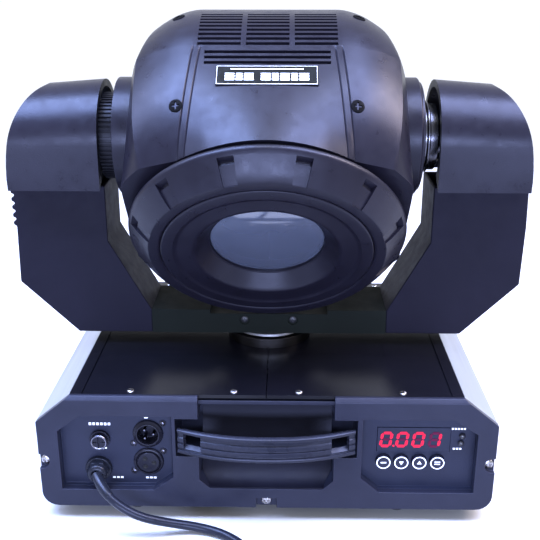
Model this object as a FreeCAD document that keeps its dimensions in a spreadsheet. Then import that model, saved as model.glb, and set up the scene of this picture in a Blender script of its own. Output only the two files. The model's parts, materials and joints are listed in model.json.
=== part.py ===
"""Moving head light: base, panning yoke and tilting head. Millimetres, +Z up, front towards -Y."""
import FreeCAD, Part
import math
import os
import re

import Sketcher

Vector = FreeCAD.Vector
doc = FreeCAD.newDocument("moving_head_light")
os.makedirs("parts", exist_ok=True)

# ---------------------------------------------------------------- driving dimensions
DIMENSIONS = {
    "base_half": 185.0,         # half width of the base
    "base_depth_half": 132.0,   # half depth of the base
    "base_top": 113.0,
    "shoulder_z": 90.0,         # where the side wall turns into the sloped rail face
    "rail_edge": 157.0,         # inner edge of the side rails
    "tray_z": 12.0,             # underside of the base
    "panel_thick": 6.0,
    "sheet": 3.0,               # covers and shells
    "recess_depth": 10.0,
    "handle_reach": 72.0,       # half length of the handle
    "handle_low": 62.0,
    "handle_high": 85.0,
    "yoke_half_depth": 30.0,
    "yoke_low": 124.5,
    "crossbar_half": 104.0,
    "crossbar_top": 146.5,
    "arm_inner": 139.0,
    "arm_outer": 218.5,
    "arm_top": 258.7,
    "tilt_z": 296.0,            # height of the tilt axis
    "drum_radius": 48.0,
    "head_radius": 104.0,       # body radius about the tilt axis
    "head_half": 111.0,         # half width of the head body
    "cover_front": 93.0,        # front plane of the head covers, ahead of the tilt axis
    "bezel_radius": 110.0,
    "face_radius": 93.5,
    "face_reach": 123.0,
    "saddle_radius": 156.0,     # room for the bezel to swing over the crossbar
    "retainer_radius": 83.7,
    "lens_radius": 45.3,
    "shaft_radius": 20.0,       # trunnion shafts
    "bearing_bore": 20.05,
    "pan_shaft_radius": 24.95,
    "pan_bore": 25.0,
    "pan_ring_radius": 37.4,
    "wheel_radius": 50.0,
    "pin_radius": 3.0,
    "pin_bore": 3.05,
    "droop": 38.5,              # the lens points this many degrees below level
    "cord_radius": 3.6,
    "button_radius": 5.9,
}
sheet = doc.addObject("Spreadsheet::Sheet", "Dimensions")
for row, (alias, value) in enumerate(DIMENSIONS.items(), start=1):
    sheet.set(f"A{row}", alias)
    sheet.set(f"B{row}", str(value))
    sheet.setAlias(f"B{row}", alias)
doc.recompute()

D = DIMENSIONS
subparts = []


def arc_points(centre, radii, start, end, steps):
    """Points along an ellipse's arc, angles in degrees from the first axis, ends included."""
    turns = [math.radians(start + (end - start) * step / steps) for step in range(steps + 1)]
    return [(centre[0] + radii[0] * math.cos(a), centre[1] + radii[1] * math.sin(a)) for a in turns]


def measure(size):
    """A number, or an expression in the sheet's aliases, as a number."""
    if not isinstance(size, str):
        return float(size)
    probe = doc.addObject("App::FeaturePython", "Probe")
    probe.addProperty("App::PropertyFloat", "Reading")
    probe.setExpression("Reading", bound(size))
    doc.recompute([probe])
    reading = probe.Reading
    doc.removeObject(probe.Name)
    return reading


def bound(size):
    """The same size as an expression that reads the sheet."""
    if not isinstance(size, str):
        return f"{size:.6f}"
    return re.sub(r"[a-z_]*[a-z]", lambda word: "Dimensions." + word.group(), size)


def node(thing, name):
    """Mark a document object as the sub-part that is written to parts/name.step."""
    thing.Label = name
    subparts.append(thing)
    return thing


# ---------------------------------------------------------------- primitives bound to the sheet
def box(name, low, high):
    """Box between two corners, each coordinate a number or an expression."""
    solid = doc.addObject("Part::Box", name)
    for prop, axis in (("Length", 0), ("Width", 1), ("Height", 2)):
        solid.setExpression(prop, f"({bound(high[axis])}) - ({bound(low[axis])})")
    for letter, axis in (("x", 0), ("y", 1), ("z", 2)):
        solid.setExpression(f"Placement.Base.{letter}", bound(low[axis]))
    return solid


TURNS = {
    "z": FreeCAD.Rotation(),
    "x": FreeCAD.Rotation(Vector(0, 1, 0), 90),
    "y": FreeCAD.Rotation(Vector(1, 0, 0), -90),
}


def rod(name, radius, start, length, axis="z"):
    """Cylinder from a start point along +x, +y or +z."""
    solid = doc.addObject("Part::Cylinder", name)
    solid.setExpression("Radius", bound(radius))
    solid.setExpression("Height", bound(length))
    solid.Placement.Rotation = TURNS[axis]
    for letter, size in zip("xyz", start):
        solid.setExpression(f"Placement.Base.{letter}", bound(size))
    return solid


def fuse(name, *shapes):
    joined = doc.addObject("Part::MultiFuse", name)
    joined.Shapes = list(shapes)
    return joined


def group(name, *shapes):
    """Several separate solids kept as one node."""
    gathered = doc.addObject("Part::Compound", name)
    gathered.Links = list(shapes)
    return gathered


def cut(name, base, *tools):
    tool = tools[0] if len(tools) == 1 else group(name + "_tools", *tools)
    result = doc.addObject("Part::Cut", name)
    result.Base = base
    result.Tool = tool
    return result


def common(name, *shapes):
    result = doc.addObject("Part::MultiCommon", name)
    result.Shapes = list(shapes)
    return result


# ---------------------------------------------------------------- sketched bodies
PLANES = {"xy": "XY_Plane", "xz": "XZ_Plane", "yz": "YZ_Plane"}


def sketch(body, plane, corners, level=0):
    """Closed outline on one of the body's own planes; every corner is tied to the origin."""
    drawn = body.newObject("Sketcher::SketchObject", body.Name + "_outline")
    origin_plane = [f for f in body.Origin.OriginFeatures if f.Role == PLANES[plane]][0]
    drawn.AttachmentSupport = [(origin_plane, "")]
    drawn.MapMode = "FlatFace"
    drawn.setExpression("AttachmentOffset.Base.z", bound(level))
    points = [(measure(a), measure(b)) for a, b in corners]
    count = len(points)
    for index in range(count):
        start, end = points[index], points[(index + 1) % count]
        drawn.addGeometry(Part.LineSegment(Vector(*start, 0), Vector(*end, 0)), False)
    for index in range(count):
        drawn.addConstraint(Sketcher.Constraint("Coincident", index, 2, (index + 1) % count, 1))
    for index, corner in enumerate(corners):
        for kind, size, value in zip(("DistanceX", "DistanceY"), corner, points[index]):
            tie(drawn, kind, index, size, value)
    return drawn


def tie(drawn, kind, index, size, value):
    """Hold one corner coordinate; the distance is kept positive by the order of the points."""
    if abs(value) < 1e-9:
        axis = -2 if kind == "DistanceX" else -1
        drawn.addConstraint(Sketcher.Constraint("PointOnObject", index, 1, axis))
        return
    if value > 0:
        number = drawn.addConstraint(Sketcher.Constraint(kind, -1, 1, index, 1, value))
        expression = bound(size)
    else:
        number = drawn.addConstraint(Sketcher.Constraint(kind, index, 1, -1, 1, -value))
        expression = f"-({bound(size)})"
    if isinstance(size, str):
        drawn.setExpression(f"Constraints[{number}]", expression)


def prism(name, plane, corners, low, high):
    """Body padded from an outline, between two levels along the plane's third axis."""
    body = doc.addObject("PartDesign::Body", name)
    # the xz plane's normal points towards -Y
    level = f"-({high})" if plane == "xz" else low
    drawn = sketch(body, plane, corners, level)
    padded = body.newObject("PartDesign::Pad", name + "_pad")
    padded.Profile = drawn
    padded.setExpression("Length", f"({bound(high)}) - ({bound(low)})")
    return body


def turned(name, corners, plane="yz"):
    """Body revolved about the sketch's horizontal axis: +Y for the yz plane, +X for the xz plane."""
    body = doc.addObject("PartDesign::Body", name)
    drawn = sketch(body, plane, corners)
    spun = body.newObject("PartDesign::Revolution", name + "_turn")
    spun.Profile = drawn
    spun.ReferenceAxis = (drawn, ["H_Axis"])
    spun.Angle = 360
    return body


def mirrored(corners):
    """The same outline on the other side of x = 0."""
    return [(f"-({x})" if isinstance(x, str) else -x, z) for x, z in reversed(corners)]


# ---------------------------------------------------------------- base: tray, rails, covers
BEHIND_PANEL = "base_depth_half - panel_thick"
CORNER = 13.0                   # rounding of the panel's lower corners
LOWER_CORNER = arc_points((D["base_half"] - CORNER, D["tray_z"] + CORNER), (CORNER, CORNER), -90, 0, 6)
UPPER_CORNERS = [("base_half", "shoulder_z"), ("rail_edge", "base_top"),
                 ("-rail_edge", "base_top"), ("-base_half", "shoulder_z")]
PANEL_OUTLINE = LOWER_CORNER + UPPER_CORNERS + [(-x, z) for x, z in reversed(LOWER_CORNER)]
LEFT_RECESS = [(-168, 28), (-92, 28), (-76, 40), (-76, 96), (-149, 96), (-168, 82)]
RIGHT_RECESS = [(77, 41), (92, 28), (169, 28), (169, 82), (150, 95), (77, 95)]
POCKET_LOWER = [(-54.5, 38), (-46, 30), (46, 30), (54.5, 38), (54.5, 60), (73, 60), (73, 94), (54.5, 94)]
TOP_SCREW_XS = (-109, -26, 26, 109)


def handle_opening(ceiling):
    """Cross-shaped opening for the handle, up to a given height."""
    return POCKET_LOWER + [(54.5, ceiling), (-54.5, ceiling), (-54.5, 94), (-73, 94), (-73, 60), (-54.5, 60)]


def base_tray():
    plate = box("TrayPlate", (-181, f"-({BEHIND_PANEL})", "tray_z"), (181, BEHIND_PANEL, "tray_z + sheet"))
    flanges = [box("TrayFlange", (x, f"-({BEHIND_PANEL})", "tray_z + sheet"), (x + 3, BEHIND_PANEL, 34))
               for x in (-181, 178)]
    holes = [rod("ClampHole", 4.2, (x, y, "tray_z - 1"), 6) for x in (-110, 110) for y in (-70, 70)]
    vents = [box("TrayVent", (x, -55, "tray_z - 1"), (x + 6, 55, "tray_z + sheet + 1"))
             for x in range(-48, 49, 18)]
    return node(cut("Tray", fuse("TraySheet", plate, *flanges), *holes, *vents), "base_tray")


def side_rail(side):
    corners = [(181, 14), ("base_half", 14), ("base_half", "shoulder_z"), ("rail_edge", "base_top"),
               ("rail_edge", "base_top - 5.2"), (181, "shoulder_z - 1.9")]
    if side < 0:
        corners = mirrored(corners)
    label = "side_rail_right" if side > 0 else "side_rail_left"
    return node(prism("Rail", "xz", corners, f"-({BEHIND_PANEL})", BEHIND_PANEL), label)


def top_cover(side):
    corners = [(0.4, f"-({BEHIND_PANEL})"), ("rail_edge - 0.3", f"-({BEHIND_PANEL})"),
               ("rail_edge - 0.3", BEHIND_PANEL), (0.4, BEHIND_PANEL)]
    if side < 0:
        corners = mirrored(corners)
    cover = prism("Cover", "xy", corners, "base_top - sheet", "base_top")
    middle = 147 * side
    groove = box("CoverGroove", (middle - 0.8, -140, "base_top - 1"), (middle + 0.8, 140, "base_top + 1"))
    opening = rod("RingOpening", "pan_ring_radius + 0.5", (0, 0, "base_top - 5"), 10)
    holes = [rod("CoverHole", 1.6, (x, y, "base_top - 5"), 10)
             for x in TOP_SCREW_XS if x * side > 0 for y in (-120, 120)]
    label = "top_cover_right" if side > 0 else "top_cover_left"
    return node(cut("CoverPlate", cover, groove, opening, *holes), label)


def end_panel(front):
    """Moulded panel across one end of the base, with the handle's cup behind it."""
    outer = "-base_depth_half"
    panel = prism("Panel", "xz", PANEL_OUTLINE, outer, f"-({BEHIND_PANEL})")
    cup = box("CupBlock", (-77, f"-({BEHIND_PANEL})", 26.5), (77, -88, 108))
    through = prism("CupMouth", "xz", handle_opening("base_top + 1"),
                    "-base_depth_half - 1", f"-({BEHIND_PANEL})")
    deep = prism("CupHollow", "xz", handle_opening(104.5), "-base_depth_half - 1", -91)
    tools = [through, deep]
    bevel = prism("TopBevel", "yz", [("-base_depth_half - 1", "base_top - 4"),
                                     ("-base_depth_half - 1", "base_top + 1"),
                                     ("-base_depth_half + 4", "base_top + 1")], -186, 186)
    tools.append(bevel)
    for x in (-183, 183):
        tools.append(rod("SideScrewPocket", 6.5, (x, "-base_depth_half - 1", 54), 5, "y"))
    tools.append(box("FootScrewPocket", (-8.5, "-base_depth_half - 1", "tray_z - 1"),
                     (8.5, "-base_depth_half + 4", 21)))
    if front:
        tools.append(prism("ConnectorMouth", "xz", LEFT_RECESS, "-base_depth_half - 1", -125))
        tools.append(prism("ControlMouth", "xz", RIGHT_RECESS, "-base_depth_half - 1", -125))
    else:
        slots = [box("RearVent", (side * 122 - 34, -140, z), (side * 122 + 34, -125, z + 4))
                 for side in (-1, 1) for z in range(36, 88, 9)]
        tools.extend(slots)
    shaped = cut("PanelMoulding", fuse("PanelBlank", panel, cup), *tools)
    if not front:
        shaped.Placement = FreeCAD.Placement(Vector(), FreeCAD.Rotation(Vector(0, 0, 1), 180))
    return node(shaped, "front_panel" if front else "rear_panel")


BEZEL_LEAN = math.radians(D["droop"])
BEZEL_FRONT = D["face_reach"] * math.cos(BEZEL_LEAN) + (D["face_radius"] - 1.2) * math.sin(BEZEL_LEAN)
FRONT_BOW = 14.7
REAR_BOW = BEZEL_FRONT - D["base_depth_half"]   # the rear grip stands out as far as the bezel does in front
GRIP_HALF = 26                  # straight middle of the grip
GRIP_END = 52                   # where the grip meets the panel's face


def bow_outline(face, bow):
    """Grip line from end to end: level ends, a smooth swell, a straight middle."""
    steps = 8
    rise = [(-GRIP_END + (GRIP_END - GRIP_HALF) * n / steps,
             face - bow * (1 - math.cos(math.pi * n / steps)) / 2) for n in range(steps + 1)]
    ends = [("-handle_reach", face)] + rise
    return ends + [(f"-({x})" if isinstance(x, str) else -x, y) for x, y in reversed(ends)]


def handle(front):
    """Bowed strap: straight ends, a middle that stands out, four grooves along it and end slots."""
    face = -D["base_depth_half"]
    bow = FRONT_BOW if front else REAR_BOW
    line = bow_outline(face, bow)
    back = [(x, y + 6) for x, y in reversed(line)]
    strap = prism("Strap", "xy", line + back, "handle_low", "handle_high")
    grooves = [box("GripGroove", (-43, -170, z), (43, face - bow + 1.2, z + 1.6))
               for z in (65.5, 70.3, 75.1, 79.9)]
    slots = [box("StrapSlot", (x - 8.5, -170, 65.5), (x + 8.5, -120, 81.5)) for x in (-61.5, 61.5)]
    lugs = [box("StrapLug", (x - 3, face + 6, 64), (x + 3, -91, 83)) for x in (-69, 69)]
    shaped = fuse("HandleWhole", cut("HandleStrap", strap, *grooves, *slots), *lugs)
    if not front:
        shaped.Placement = FreeCAD.Placement(Vector(), FreeCAD.Rotation(Vector(0, 0, 1), 180))
    return node(shaped, "front_handle" if front else "rear_handle")


def recess_tub(name, label, outline, side, openings):
    """Shallow tub behind the panel: a rim round the recess and a floor that carries the fittings."""
    corners = [(77.5, 24), (173, 24), (173, 92), (165.5, 99), (77.5, 99)]
    if side < 0:
        corners = mirrored(corners)
    block = prism(name + "Block", "xz", corners, f"-({BEHIND_PANEL})", -119)
    hollow = prism(name + "Hollow", "xz", outline, -127, "-base_depth_half + recess_depth")
    return node(cut(name, block, hollow, *openings), label)


def rubber_feet():
    feet = []
    for x in (-110, 110):
        for y in (-108, 108):
            pad = doc.addObject("Part::Cone", "Foot")
            pad.Radius1 = 8.5
            pad.Radius2 = 10
            pad.setExpression("Height", bound("tray_z"))
            pad.Placement.Base = Vector(x, y, 0)
            feet.append(pad)
    return node(group("Feet", *feet), "rubber_feet")


# ---------------------------------------------------------------- base: connectors and controls
FLOOR_Y = -122.0
XLR_MALE = (-96.5, 75.3)
XLR_FEMALE = (-97.0, 49.4)
FUSE = (-136.0, 70.0)
GLAND = (-138.5, 43.0)
BUTTON_XS = (95.5, 110.0, 124.7, 139.3)
BUTTON_Z = 52.5
LIGHTS = ((158.5, 76.0), (157.8, 69.5))
PIN_CIRCLE = 4.6


def xlr(place, male):
    x, z = place
    name = "Male" if male else "Female"
    flange = box(name + "Flange", (x - 15.5, FLOOR_Y - 2, z - 12.2), (x + 15.5, FLOOR_Y, z + 12.2))
    ring = rod(name + "Ring", 11.5, (x, FLOOR_Y - 4.5, z), 2.5, "y")
    barrel = rod(name + "Barrel", 9.3, (x, FLOOR_Y, z), 14, "y")
    heads = [rod(name + "Screw", 2.6, (x + sx, FLOOR_Y - 3, z + sz), 1, "y")
             for sx, sz in ((12.2, 9.3), (-12.2, -9.3))]
    whole = fuse(name + "Solid", flange, ring, barrel, *heads)
    spots = [(x + PIN_CIRCLE * math.cos(math.radians(a)), z + PIN_CIRCLE * math.sin(math.radians(a)))
             for a in (0, 125, 235)]
    if male:
        shell = cut("MaleShell", whole, rod("MaleCavity", 8.4, (x, FLOOR_Y - 6, z), 16, "y"))
        pins = [rod("MalePin", 1.2, (px, FLOOR_Y + 2, pz), 9, "y") for px, pz in spots]
        return node(fuse("MaleSocket", shell, *pins), "xlr_male")
    holes = [rod("FemaleHole", 1.5, (px, FLOOR_Y - 6, pz), 13, "y") for px, pz in spots]
    gap = cut("FemaleGap", rod("GapOuter", 9.4, (x, FLOOR_Y - 5, z), 4.4, "y"),
              rod("GapInner", 7.6, (x, FLOOR_Y - 3.5, z), 9, "y"))
    latch = box("FemaleLatch", (x + 9.6, FLOOR_Y - 6, z - 2.5), (x + 12.5, FLOOR_Y - 1, z + 2.5))
    return node(cut("FemaleSocket", whole, gap, latch, *holes), "xlr_female")


def fuse_fittings():
    x, z = FUSE
    ring = rod("FuseRing", 8.2, (x, FLOOR_Y - 3, z), 3, "y")
    barrel = rod("FuseBarrel", 6.8, (x, FLOOR_Y, z), 22, "y")
    bore = rod("FuseBore", 5.4, (x, FLOOR_Y - 5, z), 24, "y")
    node(cut("FuseHolder", fuse("FuseBody", ring, barrel), bore), "fuse_holder")
    knob = rod("CapKnob", 6.6, (x, FLOOR_Y - 6.6, z), 3.3, "y")
    stem = rod("CapStem", 5.35, (x, FLOOR_Y - 3.4, z), 15, "y")
    slots = [box("CapSlot", (x - 5, FLOOR_Y - 8, z - 0.7), (x + 5, FLOOR_Y - 5.2, z + 0.7)),
             box("CapCross", (x - 0.7, FLOOR_Y - 8, z - 5), (x + 0.7, FLOOR_Y - 5.2, z + 5))]
    node(cut("FuseCap", fuse("CapSolid", knob, stem), *slots), "fuse_cap")


def cable_gland():
    x, z = GLAND
    nut = rod("GlandNut", 10, (x, FLOOR_Y - 4, z), 4, "y")
    dome = doc.addObject("Part::Cone", "GlandDome")
    dome.Radius1 = 8.5
    dome.Radius2 = 5.5
    dome.Height = 8
    dome.Placement = FreeCAD.Placement(Vector(x, FLOOR_Y - 4, z), FreeCAD.Rotation(Vector(1, 0, 0), 90))
    neck = rod("GlandNeck", 7, (x, FLOOR_Y, z), 12, "y")
    bore = rod("GlandBore", "cord_radius", (x, FLOOR_Y - 20, z), 40, "y")
    return node(cut("Gland", fuse("GlandSolid", nut, dome, neck), bore), "cable_gland")


def connector_plate():
    openings = [rod("XlrHole", 9.6, (x, -124, z), 8, "y") for x, z in (XLR_MALE, XLR_FEMALE)]
    openings.append(rod("FuseHole", 7, (FUSE[0], -124, FUSE[1]), 8, "y"))
    openings.append(rod("GlandHole", 7.2, (GLAND[0], -124, GLAND[1]), 8, "y"))
    return recess_tub("ConnectorTub", "connector_plate", LEFT_RECESS, -1, openings)


def control_plate():
    openings = [rod("ButtonHole", "button_radius + 0.4", (x, -124, BUTTON_Z), 8, "y") for x in BUTTON_XS]
    openings.append(box("DisplayWindow", (89.7, -124, 60.7), (149.3, -115, 83.3)))
    openings += [rod("LightHole", 2.1, (x, -124, z), 8, "y") for x, z in LIGHTS]
    return recess_tub("ControlTub", "control_plate", RIGHT_RECESS, 1, openings)


def controls():
    screen = box("DisplayBlock", (90, -122.6, 61), (149, -112, 83))
    lights = [rod("Light", 1.9, (x, -123.2, z), 12, "y") for x, z in LIGHTS]
    node(group("DisplayParts", screen, *lights), "display_module")
    for number, x in enumerate(BUTTON_XS, start=1):
        cap = rod("ButtonCap", "button_radius", (x, -126, BUTTON_Z), 6.8, "y")
        collar = rod("ButtonCollar", "button_radius + 1.2", (x, -118.9, BUTTON_Z), 1.5, "y")
        neck = rod("ButtonNeck", "button_radius - 1", (x, -119.4, BUTTON_Z), 1, "y")
        node(fuse("Button", cap, neck, collar), f"menu_button_{number}")


# ---------------------------------------------------------------- base: insides and the pan drive
def base_insides():
    core = box("BallastCore", (-148, -60, "tray_z + sheet"), (-78, 60, 72))
    coils = [box("BallastCoil", (-140, y, 72), (-86, y + 40, 84)) for y in (-50, 10)]
    node(fuse("BallastBlock", core, *coils), "ballast")
    node(box("SupplyBox", (64, -64, "tray_z + sheet"), (148, 64, 56)), "power_supply")


def pan_drive():
    legs = [(-162, "tray_z + sheet"), (-162, 103), (162, 103), (162, "tray_z + sheet"),
            (158, "tray_z + sheet"), (158, 99), (-158, 99), (-158, "tray_z + sheet")]
    bridge = prism("Bridge", "xz", legs, -50, 50)
    bore = rod("BridgeBore", 30, (0, 0, 98), 6)
    motor_hole = rod("MotorHole", 4, (0, -40, 98), 6)
    node(cut("PanBridge", bridge, bore, motor_hole), "pan_bridge")
    ring = fuse("RingSolid", rod("RingWall", "pan_ring_radius", (0, 0, 103), 18),
                rod("RingLip", "pan_ring_radius - 7", (0, 0, 121), 1))
    node(cut("PanBearing", ring, rod("RingBore", "pan_bore", (0, 0, 102), 22)), "pan_bearing")
    shaft = fuse("ShaftSolid", rod("ShaftWall", "pan_shaft_radius", (0, 0, 74), "yoke_low - 74"),
                 rod("ShaftFlange", 34, (0, 0, 122.5), 2),
                 rod("PulleyWheel", 36, (0, 0, 78), 12), rod("PulleyRim", 38.5, (0, 0, 76), 2))
    node(cut("PanShaft", shaft, rod("CableWay", 15, (0, 0, 70), 60)), "pan_shaft")


PAN_MOTOR_Y = 66


def belt_loop(name, label, plane_x, width, low, high):
    """Flat belt round two pulleys whose axes run along X; each pulley is (z, radius)."""
    loops = []
    for extra in (0, 1.4):
        (z0, r0), (z1, r1) = [(z, r + extra) for z, r in (low, high)]
        lean = math.asin((r1 - r0) / (z1 - z0))
        side = Vector(0, math.cos(lean), -math.sin(lean))
        ends = [Vector(plane_x, 0, z0) + side * r0, Vector(plane_x, 0, z1) + side * r1]
        opposite = [Vector(p.x, -p.y, p.z) for p in ends]
        bottom, top = Vector(plane_x, 0, z0 - r0), Vector(plane_x, 0, z1 + r1)
        edges = [Part.LineSegment(ends[0], ends[1]).toShape(), Part.Arc(ends[1], top, opposite[1]).toShape(),
                 Part.LineSegment(opposite[1], opposite[0]).toShape(),
                 Part.Arc(opposite[0], bottom, ends[0]).toShape()]
        loops.append(Part.Face(Part.Wire(edges)).extrude(Vector(width, 0, 0)))
    belt = doc.addObject("Part::Feature", name)
    belt.Shape = loops[1].cut(loops[0])
    return node(belt, label)


def toothed_wheel(name, radius, start, length, axis, teeth, depth=1.2, width=1.6):
    """Cylinder with straight notches round its rim."""
    blank = Part.makeCylinder(radius, length)
    notch = Part.makeBox(2 * depth, width, length + 2, Vector(radius - depth, -width / 2, -1))
    notches = []
    for number in range(teeth):
        turned_notch = notch.copy()
        turned_notch.rotate(Vector(), Vector(0, 0, 1), 360 * number / teeth)
        notches.append(turned_notch)
    wheel = doc.addObject("Part::Feature", name)
    wheel.Shape = blank.cut(Part.makeCompound(notches))
    wheel.Placement = FreeCAD.Placement(Vector(*start), TURNS[axis])
    return wheel


def pan_motor():
    """Motor standing on the tray behind the pan shaft, with its pulley and belt."""
    case = box("PanMotorCase", (-21, PAN_MOTOR_Y - 21, "tray_z + sheet"), (21, PAN_MOTOR_Y + 21, 74))
    shaft = rod("PanMotorShaft", 2.95, (0, PAN_MOTOR_Y, 74), 16)
    node(fuse("PanMotor", case, shaft), "pan_motor")
    wheel = toothed_wheel("PanMotorWheel", 9, (0, PAN_MOTOR_Y, 79), 10, "z", 20, 0.8, 1.0)
    node(cut("PanMotorPulley", wheel, rod("PanPulleyBore", 3, (0, PAN_MOTOR_Y, 77), 14)), "pan_motor_pulley")
    belt = belt_loop("PanBelt", "pan_belt", 80, 7, (-PAN_MOTOR_Y, 9.3), (0, 36.3))
    belt.Placement.Rotation = FreeCAD.Rotation(Vector(0, 1, 0), -90)


# ---------------------------------------------------------------- yoke
def yoke_crossbar():
    outer = box("BarOuter", ("-crossbar_half", "-yoke_half_depth", "yoke_low"),
                ("crossbar_half", "yoke_half_depth", "crossbar_top"))
    inner = box("BarInner", ("-crossbar_half - 1", "-yoke_half_depth + sheet", "yoke_low + sheet"),
                ("crossbar_half + 1", "yoke_half_depth - sheet", "crossbar_top - 10"))
    saddle = rod("BarSaddle", "saddle_radius", (-52, 0, "tilt_z"), 104, "x")
    way = rod("BarCableWay", 15, (0, 0, "yoke_low - 1"), "sheet + 2")
    pockets = [rod("BarScrewPocket", 4.5, (x, "-yoke_half_depth - 1", 137), 2.5, "y") for x in (-21.5, 21.5)]
    return node(cut("Crossbar", outer, inner, saddle, way, *pockets), "yoke_crossbar")


LOUVRE_TOP = 256
LOUVRE_PITCH = 7.0
LOUVRES = 5


def arm_cover(side):
    louvres = []
    for number in range(LOUVRES):
        upper = LOUVRE_TOP - LOUVRE_PITCH * number
        louvres = [("arm_outer - 1.5", upper - 5), ("arm_outer + 1", upper - 4),
                   ("arm_outer + 1", upper - 1), ("arm_outer - 1.5", upper)] + louvres
    outline = [("crossbar_half", "yoke_low"), (170, "yoke_low"), ("arm_outer", 172)]
    outline += louvres if side < 0 else [("arm_outer + 1", 224)]
    outline += [("arm_outer", "arm_top"), ("arm_inner", "arm_top"), ("arm_inner", 210),
                ("crossbar_half", "crossbar_top")]
    hollow = [("crossbar_half - 1", "yoke_low + sheet"), (168.7, "yoke_low + sheet"),
              ("arm_outer - 4.5", 173.4), ("arm_outer - 4.5", "arm_top + 1"), ("arm_inner + sheet", "arm_top + 1"),
              ("arm_inner + sheet", 209), (107.4, "crossbar_top - sheet"),
              ("crossbar_half - 1", "crossbar_top - sheet")]
    if side < 0:
        outline, hollow = mirrored(outline), mirrored(hollow)
    name = "ArmRight" if side > 0 else "ArmLeft"
    outer = prism(name + "Outer", "xz", outline, "-yoke_half_depth", "yoke_half_depth")
    inner = prism(name + "Inner", "xz", hollow, "-yoke_half_depth + sheet", "yoke_half_depth - sheet")
    return node(cut(name, outer, inner), "arm_cover_right" if side > 0 else "arm_cover_left")


DRUM_END = (180, D["arm_top"])  # centre of the elliptical end of each drum cap, seen from the front


def drum_outline(inset):
    """Front outline of the right drum cap: a rounded outer end over the arm's full width."""
    radii = (39 - inset, 86.3 - inset)
    foot = D["arm_top"] - (1 if inset else 0)
    inner = D["arm_inner"] + inset
    arc = arc_points(DRUM_END, radii, 2, 90, 12)
    return [(inner, foot), (arc[0][0], foot)] + arc + [(inner, DRUM_END[1] + radii[1])]


def drum_cap(side):
    """Rounded end cap over the tilt bearing: a cylinder about the tilt axis trimmed to the arm's outline."""
    name = "DrumRight" if side > 0 else "DrumLeft"
    outline, hollow = drum_outline(0), drum_outline(D["sheet"])
    if side < 0:
        outline, hollow = mirrored(outline), mirrored(hollow)
    start = 130 if side > 0 else -230
    outer = common(name + "Outer", prism(name + "Front", "xz", outline, -50, 50),
                   rod(name + "Round", "drum_radius", (start, 0, "tilt_z"), 100, "x"))
    inner = common(name + "Inner", prism(name + "Back", "xz", hollow, -46, 46),
                   rod(name + "Bore", "drum_radius - sheet", (start, 0, "tilt_z"), 100, "x"))
    mouth = rod(name + "Mouth", 42, (130 if side > 0 else -150, 0, "tilt_z"), 20, "x")
    shell = cut(name + "Shell", outer, inner, mouth)
    web_x = 158 if side > 0 else -166
    disc = common(name + "WebDisc", rod(name + "WebRound", "drum_radius - 1", (web_x, 0, "tilt_z"), 8, "x"),
                  box(name + "WebTrim", (-230, -50, "arm_top"), (230, 50, 350)))
    web = cut(name + "Web", disc, rod(name + "WebBore", 28, (web_x - 1, 0, "tilt_z"), 10, "x"))
    return node(fuse(name, shell, web), "drum_cap_right" if side > 0 else "drum_cap_left")


def tilt_bearings():
    rings = [cut("Bearing", rod("BearingOuter", 28, (x, 0, "tilt_z"), 8, "x"),
                 rod("BearingBore", "bearing_bore", (x - 1, 0, "tilt_z"), 10, "x")) for x in (-166, 158)]
    return node(group("Bearings", *rings), "tilt_bearings")


MOTOR_Z = 200
BELT_X = -152


def tilt_drive():
    case = box("TiltMotorCase", (-214, -21, MOTOR_Z - 21), (-158, 21, MOTOR_Z + 21))
    shaft = rod("TiltMotorShaft", 2.95, (-158, 0, MOTOR_Z), 14, "x")
    node(fuse("TiltMotor", case, shaft), "tilt_motor")
    wheel = toothed_wheel("MotorWheel", 10, (BELT_X - 2, 0, MOTOR_Z), 10, "x", 20, 0.8, 1.0)
    node(cut("MotorPulley", wheel, rod("MotorPulleyBore", 3, (BELT_X - 4, 0, MOTOR_Z), 14, "x")),
         "tilt_motor_pulley")
    belt_loop("TiltBelt", "tilt_belt", BELT_X - 1, 7, (MOTOR_Z, 10.3), (D["tilt_z"], 30.3))


# ---------------------------------------------------------------- head, drawn level and then tipped
def tip(thing):
    """Carry a head piece from its level position on the origin to the tilt axis, lens down."""
    thing.setExpression("Placement.Base.z", "Dimensions.tilt_z")
    thing.Placement.Rotation = FreeCAD.Rotation(Vector(1, 0, 0), D["droop"])
    return thing


HALF_SECTION = [(0, 104), (55, 104), (76, 101), (90, 95.5),
                (101.5, 88.5), (106.5, 76), (109.5, 63), (111, 48)]
WING_FOOT = Vector(55, 0, 104)            # where the sloping wing leaves the flat top
WING_NORMAL = Vector(0.395, -0.191, 0.899)


def body_blank(name, inset):
    """Head body: a section carried forward, turned about the tilt axis behind, with sloping wings."""
    half = [(min(x, 111 - inset) if x > 50 else x, r - inset) for x, r in HALF_SECTION]
    top = [(-x, r) for x, r in reversed(half)][:-1] + half
    outline = top + [(x, -r) for x, r in reversed(top)]
    forward = prism(name + "Forward", "xz", outline, f"-cover_front + {inset}", 0)
    turned_back = turned(name + "Turned", [(half[-1][0], 0), (-half[-1][0], 0)] + top, "xz")
    back = common(name + "Back", turned_back, box(name + "BackSpace", (-115, 0, -115), (115, 115, 115)))
    wings = [wing_block(name, side_x, side_z, inset) for side_x in (-1, 1) for side_z in (-1, 1)]
    return cut(name, fuse(name + "Whole", forward, back), *wings)


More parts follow.
